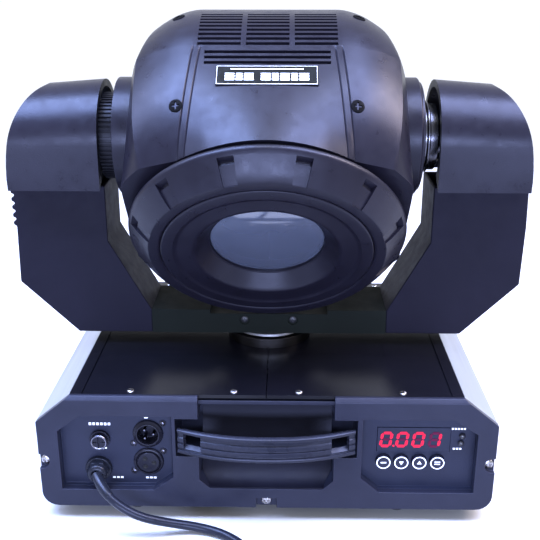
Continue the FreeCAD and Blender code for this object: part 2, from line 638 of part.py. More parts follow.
def wing_block(name, side_x, side_z, inset):
    """Block whose lower face is one sloping wing; it is cut from the body."""
    block = doc.addObject("Part::Box", name + "Wing")
    block.Length, block.Width, block.Height = 300, 300, 60
    normal = Vector(WING_NORMAL.x * side_x, WING_NORMAL.y, WING_NORMAL.z * side_z)
    foot = Vector(WING_FOOT.x * side_x, WING_FOOT.y, WING_FOOT.z * side_z) - normal * inset
    turn = FreeCAD.Rotation(Vector(0, 0, 1), normal)
    block.Placement = FreeCAD.Placement(foot - turn.multVec(Vector(150, 150, 0)), turn)
    trimmed = common(name + "WingTrim", block, box(name + "WingSpace", (-120, -120, -130), (120, 0, 130)))
    return trimmed


VENT_COLUMNS = (-37, 0, 37)
VENT_ROWS = 9
VENT_STEP = 3.1


def vent_cutters():
    cutters = []
    for row in range(VENT_ROWS):
        angle = 1.0 + VENT_STEP * row
        for x in VENT_COLUMNS:
            slot = box("VentSlot", (x - 16.5, -1.5, 94), (x + 16.5, 1.5, 110))
            turn = FreeCAD.Placement(Vector(), FreeCAD.Rotation(Vector(1, 0, 0), -angle))
            carrier = group("VentCarrier", slot)
            carrier.Placement = turn
            cutters.append(carrier)
    for reach in (7, 12.5, 18):
        cutters.append(box("LongSlot", (-47.5, -reach - 1.5, 98), (47.5, -reach + 1.5, 110)))
    return cutters


def head_covers():
    for upper in (True, False):
        name = "Upper" if upper else "Lower"
        shell = cut(name + "Shell", body_blank(name + "Outer", 0), body_blank(name + "Hollow", 3),
                    rod(name + "LightWay", 82, (0, "-cover_front - 2", 0), 8, "y"),
                    *[rod(name + "TrunnionHole", 22, (x, 0, 0), 8, "x") for x in (-113, 105)])
        half = box(name + "Half", (-115, -120, 0.15 if upper else -120), (115, 120, 120 if upper else -0.15))
        cover = common(name + "Cover", shell, half)
        if upper:
            cover = cut("UpperVented", cover, *vent_cutters(), *panel_grooves())
        else:
            slots = [box("LowerVent", (x - 12, -70, -110), (x + 12, 10, -98)) for x in (-36, 0, 36)]
            cover = cut("LowerVented", cover, *slots)
        tip(node(cover, "head_top_cover" if upper else "head_bottom_cover"))


def panel_grooves():
    """Two shallow lines down each side of the centre panel, drawing apart towards the lens."""
    grooves = []
    for side in (-1, 1):
        for offset in (51, 56.5):
            back, ahead = side * offset, side * (offset + 8)
            corners = [(back - 0.8, -3), (back + 0.8, -3), (ahead + 0.8, -94), (ahead - 0.8, -94)]
            grooves.append(prism("PanelGroove", "xy", corners, 102.7, 106))
    return grooves


def trunnion(side):
    name = "RightTrunnion" if side > 0 else "LeftTrunnion"
    flange = rod(name + "Flange", 49.5, (111 if side > 0 else -127, 0, 0), 16, "x")
    shaft = rod(name + "Shaft", "shaft_radius", (108 if side > 0 else -172, 0, 0), 64, "x")
    parts = [flange, shaft]
    if side > 0:
        parts.append(rod(name + "Collar", 31, (127, 0, 0), 14, "x"))
        parts.append(rod(name + "CollarRib", 33.5, (131, 0, 0), 2, "x"))
    bore = rod(name + "Bore", 12, (90 if side > 0 else -180, 0, 0), 90, "x")
    label = "trunnion_right" if side > 0 else "trunnion_left"
    tip(node(cut(name, fuse(name + "Solid", *parts), bore), label))


def tilt_pulley():
    toothed = toothed_wheel("PulleyTeeth", 36.9, (-140, 0, 0), 12.8, "x", 60, 1.3, 2.0)
    track = rod("PulleyTrack", 30, (-153, 0, 0), 14, "x")
    rim = rod("PulleyOuterRim", 33, (-155, 0, 0), 2, "x")
    bore = rod("PulleyBore", "shaft_radius + 0.05", (-160, 0, 0), 40, "x")
    tip(node(cut("TiltPulley", fuse("TiltPulleySolid", toothed, track, rim), bore), "tilt_pulley"))


NOTCHES = 12


def bezel_ring():
    corners = [("-cover_front", "retainer_radius + 0.3"), ("-cover_front", 101), ("-cover_front - 7.5", 101),
               ("-cover_front - 8", "bezel_radius - 2"), ("-cover_front - 10", "bezel_radius"),
               ("-cover_front - 13", "bezel_radius - 0.6"), ("-face_reach + 1", "face_radius"),
               ("-face_reach", "face_radius - 1.2"), ("-face_reach", "retainer_radius + 2"),
               ("-face_reach + 1.5", "retainer_radius + 0.3")]
    ring = turned("BezelTurned", corners)
    notches = []
    for number in range(NOTCHES):
        notch = box("Notch", (-7, -135, 92.2), (7, "-cover_front - 15", 120))
        carrier = group("NotchCarrier", notch)
        carrier.Placement.Rotation = FreeCAD.Rotation(Vector(0, 1, 0), 15 + 360 * number / NOTCHES)
        notches.append(carrier)
    tip(node(cut("Bezel", ring, *notches), "bezel_ring"))


LENS_BACK = -105.3              # where the front lens sits in its ring, ahead of the tilt axis


def front_glass():
    corners = [(-109, 47.5), (-109, "retainer_radius"), ("-face_reach + 0.8", "retainer_radius"),
               ("-face_reach + 0.2", "retainer_radius - 2"), ("-face_reach + 0.2", 74),
               ("-face_reach + 2", 70), ("-face_reach + 1.6", 58), ("-face_reach + 3.8", 55.3),
               (-109.5, 46.4), (-109.5, 45.6), (LENS_BACK, 45.6), (LENS_BACK, 43.4),
               (-101, 43.4), (-101, 47.5)]
    tip(node(turned("Retainer", corners), "lens_retainer"))
    disc = rod("LensDisc", "lens_radius", (0, LENS_BACK - 7.7, 0), 7.7, "y")
    ball = doc.addObject("Part::Sphere", "LensCurve")
    ball.Radius = 220
    ball.Placement.Base = Vector(0, 220 + LENS_BACK - 6.2, 0)
    tip(node(common("Lens", disc, ball), "front_lens"))


def lamp_and_optics():
    bulb = fuse("Bulb", rod("BulbTube", 8, (0, 5, 0), 55, "y"), rod("BulbBase", 14, (0, 60, 0), 18, "y"))
    tip(node(bulb, "lamp"))
    bowl = [(40, 12), (40, 15), (22, 40), (0, 55), (0, 52), (20, 38), (38, 14)]
    tip(node(turned("Bowl", bowl), "reflector"))
    outline = [(-107.9, -40), (-96, -74), (96, -74), (107.9, -40),
               (107.9, 40), (96, 74), (-96, 74), (-107.9, 40)]
    plate = prism("FramePlate", "xz", outline, -18, -14)
    gate = rod("FrameGate", 26, (0, -20, 0), 8, "y")
    pins = [rod("WheelPin", "pin_radius", (x, y, 0), -14 - y, "y") for x, y in ((40, -28), (-40, -38))]
    rods = [rod("GuideRod", "pin_radius", (0, -88, z), 72, "y") for z in (-64, 64)]
    tip(node(fuse("OpticsFrame", cut("FrameSheet", plate, gate), *pins, *rods), "optics_frame"))
    for label, x, y, holes in (("colour_wheel", 40, -24, 6), ("gobo_wheel", -40, -34, 7)):
        disc = rod(label + "_disc", "wheel_radius", (x, y, 0), 2, "y")
        bore = rod(label + "_bore", "pin_bore", (x, y - 2, 0), 6, "y")
        spots = [rod(label + "_window", 12, (x + 33 * math.cos(2 * math.pi * n / holes), y - 2,
                                             33 * math.sin(2 * math.pi * n / holes)), 6, "y")
                 for n in range(holes)]
        tip(node(cut(label + "_cut", disc, bore, *spots), label))
    carriage = fuse("CarriageSolid", rod("CarriageRing", 44, (0, -68, 0), 10, "y"),
                    box("CarriageEars", (-8, -68, -72), (8, -58, 72)))
    bores = [rod("CarriageBore", "pin_bore", (0, -70, z), 14, "y") for z in (-64, 64)]
    middle = rod("CarriageMiddle", 36, (0, -70, 0), 14, "y")
    lens = rod("FocusGlass", 36, (0, -65, 0), 5, "y")
    tip(node(fuse("FocusLens", cut("Carriage", carriage, middle, *bores), lens), "focus_lens"))


def label_and_screws():
    tip(node(group("LabelPlate", box("Label", (-38, -41, 104), (38, -22, 104.7))), "label_plate"))
    heads = [rod("HeadScrew", 3.2, (x, y, 103), 1.4) for x in (-66, 66) for y in (-61,)]
    rear = []
    for x in (-72, 72):
        head = rod("RearHeadScrew", 3.2, (x, 0, 101), 1.4)
        carrier = group("RearScrewCarrier", head)
        carrier.Placement.Rotation = FreeCAD.Rotation(Vector(1, 0, 0), -26)
        rear.append(carrier)
    tip(node(group("HeadScrews", *heads, *rear), "head_screws"))


def outer_screws():
    tops = [rod("TopScrew", 3, (x, y, "base_top"), 1.2) for x in TOP_SCREW_XS for y in (-120, 120)]
    sides = [rod("PanelScrew", 3.4, (x, y, z), 1.6, "y")
             for y in (-129.6, 128) for x, z in ((-180, 54), (180, 54), (0, 17.2))]
    node(group("BaseScrews", *tops, *sides), "base_screws")
    bar = [rod("BarScrew", 3.3, (x, -30, 137), 1.5, "y") for x in (-21.5, 21.5)]
    node(group("YokeScrews", *bar), "yoke_screws")


# ---------------------------------------------------------------- mains cord
CORD_ROUTE = [(-138.5, -134, 43), (-131.5, -147, 38.5), (-118, -156, 30), (-100, -158, 20),
              (-79, -153, 11.5), (-56, -149, 5.2), (-33, -156, 3.8), (-14, -173, 3.8),
              (-3, -196, 3.9), (-0.5, -218, 3.7), (0, -240, 3.8)]
COIL_CENTRE = (40, -270)
COIL_RADIUS = 40.0


def cord_tube():
    """Straight runs joined by tangent arcs, each as large as its two runs allow."""
    points = [Vector(*p) for p in CORD_ROUTE]
    edges, start, length = [], points[0], 0.0
    for before, corner, after in zip(points, points[1:], points[2:]):
        inward, outward = (before - corner), (after - corner)
        shorter = min(inward.Length, outward.Length)
        turn = math.pi - inward.getAngle(outward)
        reach = 0.45 * shorter
        print("cord arc radius", round(reach / math.tan(turn / 2), 1), "turn", round(math.degrees(turn)))
        inward.normalize()
        outward.normalize()
        first, last = corner + inward * reach, corner + outward * reach
        bisector = (inward + outward).normalize()
        radius = reach / math.tan(turn / 2)
        middle = corner + bisector * (math.hypot(radius, reach) - radius)
        edges += [Part.LineSegment(start, first).toShape(), Part.Arc(first, middle, last).toShape()]
        start = last
    edges.append(Part.LineSegment(start, points[-1]).toShape())
    path = Part.Wire(edges)
    length = path.Length
    radius = D["cord_radius"]
    ring = Part.Wire(Part.makeCircle(radius, points[0], points[1] - points[0]))
    tube = doc.addObject("Part::Feature", "CordTube")
    tube.Shape = path.makePipeShell([ring], True, False)
    print("cord length", round(length), "volume ratio", tube.Shape.Volume / (math.pi * radius ** 2 * length))
    node(tube, "mains_cord")


def cord_coil():
    x, y = COIL_CENTRE
    hoop = cut("CoilHoop", rod("CoilOuter", COIL_RADIUS + 7.5, (x, y, 0.2), 19.6),
               rod("CoilInner", COIL_RADIUS - 7.5, (x, y, -1), 24))
    node(hoop, "cord_coil")


def mains_plug():
    """Plug lying beside the coil, its cord entry against the coil's outer side."""
    x, y = COIL_CENTRE[0] - COIL_RADIUS, COIL_CENTRE[1] - 40
    case = box("PlugCase", (x - 13, y - 44, 0.2), (x + 13, y, 24.2))
    relief = rod("PlugRelief", 5, (x, y - 1, 10), 17, "y")
    blades = [rod("PlugPin", 2.4, (x + dx, y - 63, 12), 20, "y") for dx in (-9.5, 9.5)]
    node(fuse("Plug", case, relief, *blades), "mains_plug")


def build_all():
    for make in (base_tray, connector_plate, control_plate, rubber_feet, fuse_fittings, cable_gland,
                 controls, base_insides, pan_drive, pan_motor, yoke_crossbar, tilt_bearings, tilt_drive,
                 head_covers, tilt_pulley, bezel_ring, front_glass, lamp_and_optics, label_and_screws,
                 outer_screws, cord_tube, cord_coil, mains_plug):
        make()
    for side in (-1, 1):
        side_rail(side)
        top_cover(side)
        arm_cover(side)
        drum_cap(side)
        trunnion(side)
    for front in (True, False):
        end_panel(front)
        handle(front)
    xlr(XLR_MALE, True)
    xlr(XLR_FEMALE, False)


def check_and_write():
    """Stop on any failed object or bad shape, then write every sub-part."""
    for thing in doc.Objects:
        if "Invalid" in thing.State or "Error" in thing.State:
            raise RuntimeError(f"{thing.Label} failed: {thing.State}")
    for thing in subparts:
        if thing.Shape.isNull() or not thing.Shape.isValid():
            raise RuntimeError(f"{thing.Label} has a bad shape")
    for thing in subparts:
        thing.Shape.exportStep(f"parts/{thing.Label}.step")
        print(thing.Label, len(thing.Shape.Solids), round(thing.Shape.Volume))
    print(len(subparts), "sub-parts")


build_all()
doc.recompute()
check_and_write()
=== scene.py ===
"""Moving head light: the visible model, its finishes, floor, light and camera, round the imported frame."""
import json
import math

import bmesh
import bpy
from mathutils import Matrix, Vector


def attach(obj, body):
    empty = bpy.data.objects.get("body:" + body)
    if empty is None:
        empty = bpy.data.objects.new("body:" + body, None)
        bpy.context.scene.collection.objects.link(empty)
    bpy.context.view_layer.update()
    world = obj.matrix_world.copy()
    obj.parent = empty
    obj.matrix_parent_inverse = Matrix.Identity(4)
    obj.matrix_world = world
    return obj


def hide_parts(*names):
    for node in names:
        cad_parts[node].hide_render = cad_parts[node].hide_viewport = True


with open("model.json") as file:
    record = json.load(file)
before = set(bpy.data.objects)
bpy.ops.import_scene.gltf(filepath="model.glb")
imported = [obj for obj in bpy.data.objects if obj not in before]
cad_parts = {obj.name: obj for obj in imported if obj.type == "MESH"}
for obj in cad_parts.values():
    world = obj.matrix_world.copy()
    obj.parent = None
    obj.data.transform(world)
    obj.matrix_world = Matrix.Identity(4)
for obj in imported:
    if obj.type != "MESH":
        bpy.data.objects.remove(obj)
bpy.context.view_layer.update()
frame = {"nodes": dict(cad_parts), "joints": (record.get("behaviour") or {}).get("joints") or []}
nodes = frame["nodes"]

MM = 0.001
JOINTS = {joint["name"]: joint for joint in frame["joints"]}
TILT_AT = Vector(JOINTS["tilt"]["pos_m"])
LENS_WAY = Vector(JOINTS["focus_slide"]["axis"])
DROOP = math.atan2(-LENS_WAY.z, -LENS_WAY.y)
HEAD = Matrix.Translation(TILT_AT) @ Matrix.Rotation(DROOP, 4, "X")     # x across, -y along the lens, z up
LENS_AXIS = HEAD @ Matrix.Rotation(math.radians(90), 4, "X")           # local z runs along the lens
WORLD = Matrix.Identity(4)


# ---------------------------------------------------------------- camera, floor, light
def camera():
    data = bpy.data.cameras.new("Camera")
    data.lens = 56.67
    eye = bpy.data.objects.new("Camera", data)
    eye.location = (0.01472, -0.7271, 0.43462)
    eye.rotation_euler = (math.radians(70.25), 0, math.radians(1.12))
    bpy.context.scene.collection.objects.link(eye)
    bpy.context.scene.camera = eye


def lamp(name, place, target, size, power, colour):
    data = bpy.data.lights.new(name, "AREA")
    data.shape = "RECTANGLE"
    data.size, data.size_y = size
    data.energy = power
    data.color = colour
    source = bpy.data.objects.new(name, data)
    source.location = place
    source.rotation_euler = (Vector(target) - Vector(place)).to_track_quat("-Z", "Y").to_euler()
    bpy.context.scene.collection.objects.link(source)


def surroundings():
    world = bpy.data.worlds.new("Studio")
    bpy.context.scene.world = world
    world.use_nodes = True
    sky = world.node_tree.nodes["Background"]
    sky.inputs["Color"].default_value = (0.88, 0.91, 1.0, 1)
    sky.inputs["Strength"].default_value = 1.16
    lamp("HighLeft", (-0.66, -0.30, 1.70), (-0.1, -0.05, 0.33), (0.85, 0.95), 126, (0.36, 0.48, 0.88))
    lamp("HighRight", (0.66, -0.30, 1.70), (0.1, -0.05, 0.33), (0.85, 0.95), 88, (0.46, 0.54, 0.92))
    lamp("HighMiddle", (0, -0.45, 1.75), (0, -0.05, 0.35), (0.5, 0.5), 7, (1.0, 0.92, 0.42))
    lamp("LeftWindow", (-1.5, -0.1, 1.45), (-0.1, -0.05, 0.35), (0.8, 0.9), 38, (0.50, 0.60, 1.0))
    lamp("RightWindow", (1.5, -0.1, 1.45), (0.1, -0.05, 0.35), (0.8, 0.9), 58, (1.0, 0.86, 0.86))
    lamp("FrontWindow", (0, -2.9, 0.45), (0, 0, 0.3), (2.4, 0.34), 170, (0.50, 0.59, 0.95))


# ---------------------------------------------------------------- finishes
def add(tree, kind, sockets=None, **settings):
    """New shader node; sockets holds values, or outputs to link."""
    fresh = tree.nodes.new("ShaderNode" + kind)
    for key, value in settings.items():
        setattr(fresh, key, value)
    for key, value in (sockets or {}).items():
        if isinstance(value, bpy.types.NodeSocket):
            tree.links.new(value, fresh.inputs[key])
        else:
            fresh.inputs[key].default_value = value
    return fresh


def spread(tree, value, low, high, start=0.3, end=0.7):
    return add(tree, "MapRange", {"Value": value, "From Min": start, "From Max": end,
                                  "To Min": low, "To Max": high}).outputs["Result"]


def finish(name, colour, rough, metallic=0.0, grain=1500, depth=0.15, mottle=0.14, vary=0.07, wear=0.0,
           stretch=(1, 1, 1), fixed=None):
    """Procedural finish: clouded colour, uneven gloss, fine grain and paler worn edges."""
    mat = bpy.data.materials.new(name)
    mat.use_nodes = True
    tree = mat.node_tree
    shader = tree.nodes["Principled BSDF"]
    place = add(tree, "TexCoord").outputs["Object"]
    place = add(tree, "Mapping", {"Vector": place, "Scale": stretch}).outputs["Vector"]
    cloud = add(tree, "TexNoise",
                {"Vector": place, "Scale": 24, "Detail": 6, "Roughness": 0.62}).outputs["Fac"]
    patch = add(tree, "TexNoise",
                {"Vector": place, "Scale": 95, "Detail": 4, "Roughness": 0.6}).outputs["Fac"]
    fine = add(tree, "TexNoise", {"Vector": place, "Scale": grain, "Detail": 2}).outputs["Fac"]
    shade = spread(tree, cloud, 1 - mottle, 1 + mottle)
    if wear:
        rounded = add(tree, "Bevel", {"Radius": 0.0011}, samples=4).outputs["Normal"]
        plain = add(tree, "NewGeometry").outputs["Normal"]
        match = add(tree, "VectorMath", {0: rounded, 1: plain}, operation="DOT_PRODUCT").outputs["Value"]
        edge = spread(tree, match, wear, 0, 0.80, 0.985)
        edge = add(tree, "Math", {0: edge, 1: patch}, operation="MULTIPLY").outputs[0]
        shade = add(tree, "Math", {0: shade, 1: edge}, operation="ADD").outputs[0]
    tint = add(tree, "VectorMath", {0: colour, "Scale": shade}, operation="SCALE").outputs["Vector"]
    tree.links.new(tint, shader.inputs["Base Color"])
    tree.links.new(spread(tree, patch, rough - vary, rough + vary), shader.inputs["Roughness"])
    bump = add(tree, "Bump", {"Height": fine, "Strength": depth, "Distance": 0.0003}).outputs["Normal"]
    tree.links.new(bump, shader.inputs["Normal"])
    shader.inputs["Metallic"].default_value = metallic
    for key, value in (fixed or {}).items():
        shader.inputs[key].default_value = value
    return mat


SATIN = {"Specular IOR Level": 0.19, "Specular Tint": (0.82, 0.84, 1.0, 1)}
DULL = {"Specular IOR Level": 0.14, "Specular Tint": (0.82, 0.84, 1.0, 1)}
MATERIALS = {
    "moulding": finish("SatinCharcoal", (0.0055, 0.005, 0.009), 0.33, grain=1300, depth=0.20, fixed=SATIN),
    "arm": finish("ArmCharcoal", (0.005, 0.0045, 0.009), 0.58, grain=1300, depth=0.22,
                  fixed={"Specular IOR Level": 0.09, "Specular Tint": (0.82, 0.84, 1.0, 1)}),
    "bar": finish("CrossbarCharcoal", (0.006, 0.0075, 0.0065), 0.62, grain=1300, depth=0.22,
                  fixed={"Specular IOR Level": 0.03}),
    "panel": finish("PanelCharcoal", (0.010, 0.011, 0.020), 0.36,
                    grain=1100, depth=0.26, wear=0.9, fixed=SATIN),
    "recess": finish("RecessCharcoal", (0.010, 0.012, 0.024), 0.42,
                     grain=1100, depth=0.28, wear=1.2, fixed=SATIN),
    "cover": finish("BlackSheet", (0.003, 0.003, 0.005), 0.24, grain=2200, depth=0.08,
                    mottle=0.15, vary=0.015, fixed={"Specular IOR Level": 0.2}),
    # partly own charcoal, partly painted shade: darker and duller than the panel, for the hollow behind each
    # handle
    "hollow": finish("HollowPaintedShade", (0.004, 0.004, 0.008), 0.45, grain=1100, depth=0.25, fixed=DULL),
    # painted shadow: near-black with almost no gloss, standing in for the shade in the head's screw holes
    "hole": finish("PaintedScrewHoleShadow", (0.001, 0.001, 0.0015), 0.6, fixed={"Specular IOR Level": 0.04}),
    "rail": finish("RailAluminium", (0.40, 0.43, 0.50), 0.36, 1.0, grain=900, depth=0.10, mottle=0.05,
                   stretch=(1, 0.05, 1)),
    "tray": finish("TrayBlack", (0.02, 0.02, 0.022), 0.5, wear=1.0),
    "rubber": finish("Rubber", (0.012, 0.012, 0.013), 0.62, grain=700, depth=0.3),
    "handle": finish("HandleBlack", (0.010, 0.011, 0.018), 0.30,
                     grain=1600, depth=0.15, wear=1.8, fixed=SATIN),
    "fitting": finish("FittingBlack", (0.006, 0.006, 0.010), 0.26, grain=1800, wear=0.8, fixed=SATIN),
    "insert": finish("InsertBlack", (0.012, 0.012, 0.018), 0.34, grain=1800, wear=1.0),
    "nylon": finish("GlandNylon", (0.006, 0.007, 0.011), 0.28, grain=1500, depth=0.1, wear=0.8, fixed=SATIN),
    "jacket": finish("CordJacket", (0.006, 0.007, 0.012), 0.30,
                     grain=900, depth=0.15, mottle=0.2, fixed=SATIN),
    "steel": finish("TurnedSteel", (0.028, 0.026, 0.026), 0.34, 1.0,
                    grain=700, depth=0.25, stretch=(1, 1, 14)),
    "darkchrome": finish("DarkChrome", (0.12, 0.12, 0.15), 0.22, 1.0, grain=900, depth=0.05, mottle=0.1),
    "chrome": finish("Chrome", (0.085, 0.085, 0.10), 0.24, 1.0,
                     grain=900, depth=0.03, mottle=0.04, vary=0.04),
    "screw": finish("ScrewSteel", (0.30, 0.29, 0.30), 0.24, 1.0, grain=1600, depth=0.1, mottle=0.2),
    "darkscrew": finish("ScrewBlack", (0.02, 0.02, 0.024), 0.34, 0.4, grain=1600, wear=1.5),
    "alloy": finish("MachinedAlloy", (0.45, 0.45, 0.47), 0.38, 1.0, grain=1200, mottle=0.1),
    # partly the pulley's own black, partly painted shade: darkened further for the shade in the gap beside
    # the head
    "pulley": finish("PulleyBlackPaintedShade", (0.006, 0.006, 0.008), 0.40, 0.0, grain=1200, fixed=DULL),
    "iron": finish("CoreIron", (0.16, 0.16, 0.17), 0.55, 0.7, grain=500, depth=0.4),
    "case": finish("SupplyCase", (0.55, 0.55, 0.56), 0.42, 1.0, grain=900),
    # painted shade: near-black with little gloss, put where there is only shade, in the drum caps' mouths and
    # the socket holes
    "lining": finish("PaintedShadeBlack", (0.003, 0.003, 0.004), 0.5, fixed={"Specular IOR Level": 0.2}),
    "button": finish("ButtonBlack", (0.012, 0.013, 0.024), 0.30, depth=0.08, wear=1.0, fixed=SATIN),
    "white": finish("WhitePrint", (0.80, 0.82, 0.88), 0.5, depth=0.1, mottle=0.08),
    "label": finish("LabelBlack", (0.004, 0.005, 0.006), 0.12, depth=0.03, mottle=0.2,
                    fixed={"Specular IOR Level": 0.3}),
    "quartz": finish("Quartz", (0.8, 0.8, 0.82), 0.08, depth=0.02, fixed={"Transmission Weight": 0.8}),
    "mirror": finish("ReflectorBright", (0.88, 0.88, 0.87), 0.07, 1.0, depth=0.02, mottle=0.03),
    "wheel": finish("WheelAnodised", (0.42, 0.45, 0.55), 0.35, 1.0),
    "floor": finish("PaleFloor", (0.42, 0.42, 0.42), 0.62, grain=300, depth=0.04, mottle=0.012, vary=0.05),
}


def glowing(name, colour, power):
    mat = finish(name, tuple(0.3 * part for part in colour), 0.5,
                 depth=0.05, fixed={"Specular IOR Level": 0.1})
    shader = mat.node_tree.nodes["Principled BSDF"]
    shader.inputs["Emission Color"].default_value = (*colour, 1)
    shader.inputs["Emission Strength"].default_value = power
    return mat


MATERIALS["red_lit"] = glowing("RedLit", (0.95, 0.016, 0.065), 0.92)
# painted glow: the unlit segments get a faint red emission of their own, though they give no light
MATERIALS["red_dim"] = glowing("RedDim", (0.16, 0.006, 0.06), 0.30)


def lens_finish():
    """Coated glass: a blue-grey body under a sharp, strongly reflecting surface."""
    mat = finish("CoatedGlass", (0.050, 0.058, 0.085), 0.07, mottle=0.10, depth=0.01, vary=0.02,
                 fixed={"IOR": 1.8, "Coat Weight": 0.3, "Coat Roughness": 0.05, "Transmission Weight": 0.12})
    return mat


MATERIALS["lens"] = lens_finish()


# ---------------------------------------------------------------- mesh helpers
def piece(name, points, faces, body, slot, finish_name, matrix=WORLD, replaced=(), sharp=35):
    """Mesh piece from points in millimetres, placed by a matrix in metres, riding on a CAD body."""
    mesh = bpy.data.meshes.new(name)
    mesh.from_pydata([matrix @ (Vector(p) * MM) for p in points], [], faces)
    work = bmesh.new()
    work.from_mesh(mesh)
    bmesh.ops.remove_doubles(work, verts=work.verts, dist=2e-6)
    bmesh.ops.dissolve_degenerate(work, edges=work.edges, dist=2e-6)
    bmesh.ops.recalc_face_normals(work, faces=work.faces)
    work.to_mesh(mesh)
    work.free()
    mesh.shade_smooth()
    thing = bpy.data.objects.new(name, mesh)
    bpy.context.scene.collection.objects.link(thing)
    mesh.materials.append(MATERIALS[finish_name])
    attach(thing, body)
    if replaced:
        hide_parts(*replaced)
    if sharp:
        mesh.set_sharp_from_angle(angle=math.radians(sharp))
    return thing


def bevel(thing, width, segments=2, angle=32):
    rounding = thing.modifiers.new("Edges", "BEVEL")
    rounding.width = width * MM
    rounding.segments = segments
    rounding.limit_method = "ANGLE"
    rounding.angle_limit = math.radians(angle)
    rounding.harden_normals = False
    shading = thing.modifiers.new("Shading", "WEIGHTED_NORMAL")
    shading.keep_sharp = False
    shading.weight = 60
    return thing


def outward(thing, reach, lean):
    """Turns a shell's faces round if its furthest one leans inward."""
    if lean(max(thing.data.polygons, key=reach)) < 0:
        thing.data.flip_normals()


def thicken(thing, wall_mm, offset=-1):
    """Wall of an open shell, inward from its faces unless the offset says otherwise."""
    wall = thing.modifiers.new("Wall", "SOLIDIFY")
    wall.thickness = wall_mm * MM
    wall.offset = offset
    wall.use_even_offset = False


def lathe(name, profile, body, slot, finish_name, matrix, steps=96, replaced=(), closed=True, sharp=35):
    """Profile of (radius, level) in millimetres turned about the matrix's local z."""
    count = len(profile)
    points = []
    for step in range(steps):
        turn = 2 * math.pi * step / steps
        points += [(r * math.cos(turn), r * math.sin(turn), z) for r, z in profile]
    faces = []
    last = count if closed else count - 1
    for step in range(steps):
        here, there = step * count, (step + 1) % steps * count
        for k in range(last):
            up = (k + 1) % count
            faces.append((here + k, there + k, there + up, here + up))
    return piece(name, points, faces, body, slot, finish_name, matrix, replaced, sharp)


def prism_points(outline, low, high):
    """Points and faces of a prism over an outline in x, y, from z low to z high."""
    count = len(outline)
    points = [(x, y, low) for x, y in outline] + [(x, y, high) for x, y in outline]
    faces = [tuple(range(count))[::-1], tuple(range(count, 2 * count))]
    faces += [(k, (k + 1) % count, count + (k + 1) % count, count + k) for k in range(count)]
    return points, faces


def joined(parts):
    """Several (points, faces) sets as one."""
    points, faces = [], []
    for some, their in parts:
        start = len(points)
        points += some
        faces += [tuple(start + k for k in face) for face in their]
    return points, faces


def moved(part, matrix):
    """A set of points and faces carried by a matrix that works in millimetres."""
    points, faces = part
    return [tuple(matrix @ Vector(p)) for p in points], faces


def keep(node, finish_name, width=0.0, segments=2, angle=32):
    """CAD node that stays: its finish, and rounded edges where they show."""
    thing = nodes[node]
    thing.data.materials.clear()
    thing.data.materials.append(MATERIALS[finish_name])
    if width:
        weld = thing.modifiers.new("Weld", "WELD")
        weld.merge_threshold = 1e-5
        flat = thing.modifiers.new("Flat", "DECIMATE")
        flat.decimate_type = "DISSOLVE"
        flat.angle_limit = math.radians(1.0)
        bevel(thing, width, segments, angle)


# ---------------------------------------------------------------- CAD nodes that stay
KEPT = {
    "base_tray": ("tray", 0), "connector_plate": ("recess", 0.8), "control_plate": ("recess", 0.8),
    "rubber_feet": ("rubber", 0.6), "fuse_holder": ("fitting", 0.4), "fuse_cap": ("fitting", 0.35),
    "display_module": ("recess", 0.3), "menu_button_1": ("button", 0.5),
    "menu_button_2": ("button", 0.5), "menu_button_3": ("button", 0.5), "menu_button_4": ("button", 0.5),
    "ballast": ("iron", 0), "power_supply": ("case", 0), "pan_bridge": ("tray", 0),
    "pan_bearing": ("steel", 0.4), "pan_shaft": ("alloy", 0), "pan_motor": ("tray", 0),
    "pan_motor_pulley": ("alloy", 0),
    "pan_belt": ("rubber", 0), "yoke_crossbar": ("bar", 1.2), "tilt_bearings": ("steel", 0),
    "tilt_motor": ("tray", 0), "tilt_motor_pulley": ("alloy", 0), "tilt_belt": ("rubber", 0),
    "tilt_pulley": ("pulley", 0.3), "lamp": ("quartz", 0), "reflector": ("mirror", 0),
    "optics_frame": ("alloy", 0), "colour_wheel": ("wheel", 0), "gobo_wheel": ("wheel", 0),
    "focus_lens": ("pulley", 0), "label_plate": ("label", 0.25), "side_rail_left": ("rail", 0.5),
    "side_rail_right": ("rail", 0.5), "top_cover_left": ("cover", 0.4), "top_cover_right": ("cover", 0.4),
    "arm_cover_left": ("arm", 1.4), "arm_cover_right": ("arm", 1.4), "trunnion_left": ("moulding", 0.6),
    "front_panel": ("panel", 2.0), "rear_panel": ("panel", 2.0),
}


# ---------------------------------------------------------------- head covers
FRONT = 93.0                    # reach of the covers' front edge from the tilt axis
BACK_RADIUS = 104.0             # the covers turn about the tilt axis behind it
SIDE_X = 111.0                  # the head's flat sides
SPLIT_GAP = 0.15                # half the gap between the upper and lower cover
SEAT_RADIUS = 82.0              # opening in the front wall, behind the bezel
VENT_ROWS = [(1.0 + 3.1 * row - 0.83, 1.0 + 3.1 * row + 0.83) for row in range(9)]
LONG_SLOTS = [(5.5, 8.5), (11, 14), (16.5, 19.5)]
INNER_XS = (0, 5.5, 11, 16.5, 20.5, 27, 34, 41, 47.5)
GROOVE_XS = (50.2, 51, 51.8, 53.5, 55.7, 56.5, 57.3)
SUNK = (1, 5)                   # places in GROOVE_XS that are pressed in
WING_STEPS = (0.12, 0.26, 0.4, 0.55, 0.7, 0.84, 0.94, 1.0)
SIDE_STEPS = (0.1, 0.24, 0.42, 0.6, 0.8, 1.0)


def crown(x, ahead, fold_x, fold_h, crease_x, crease_h):
    """Height of the head's upper face at a distance x from its middle."""
    if x <= fold_x:
        return BACK_RADIUS - (BACK_RADIUS - fold_h) * (x / fold_x) ** 2
    share = min(1.0, (x - fold_x) / (crease_x - fold_x))
    return fold_h - (fold_h - crease_h) * share ** (2 - ahead)


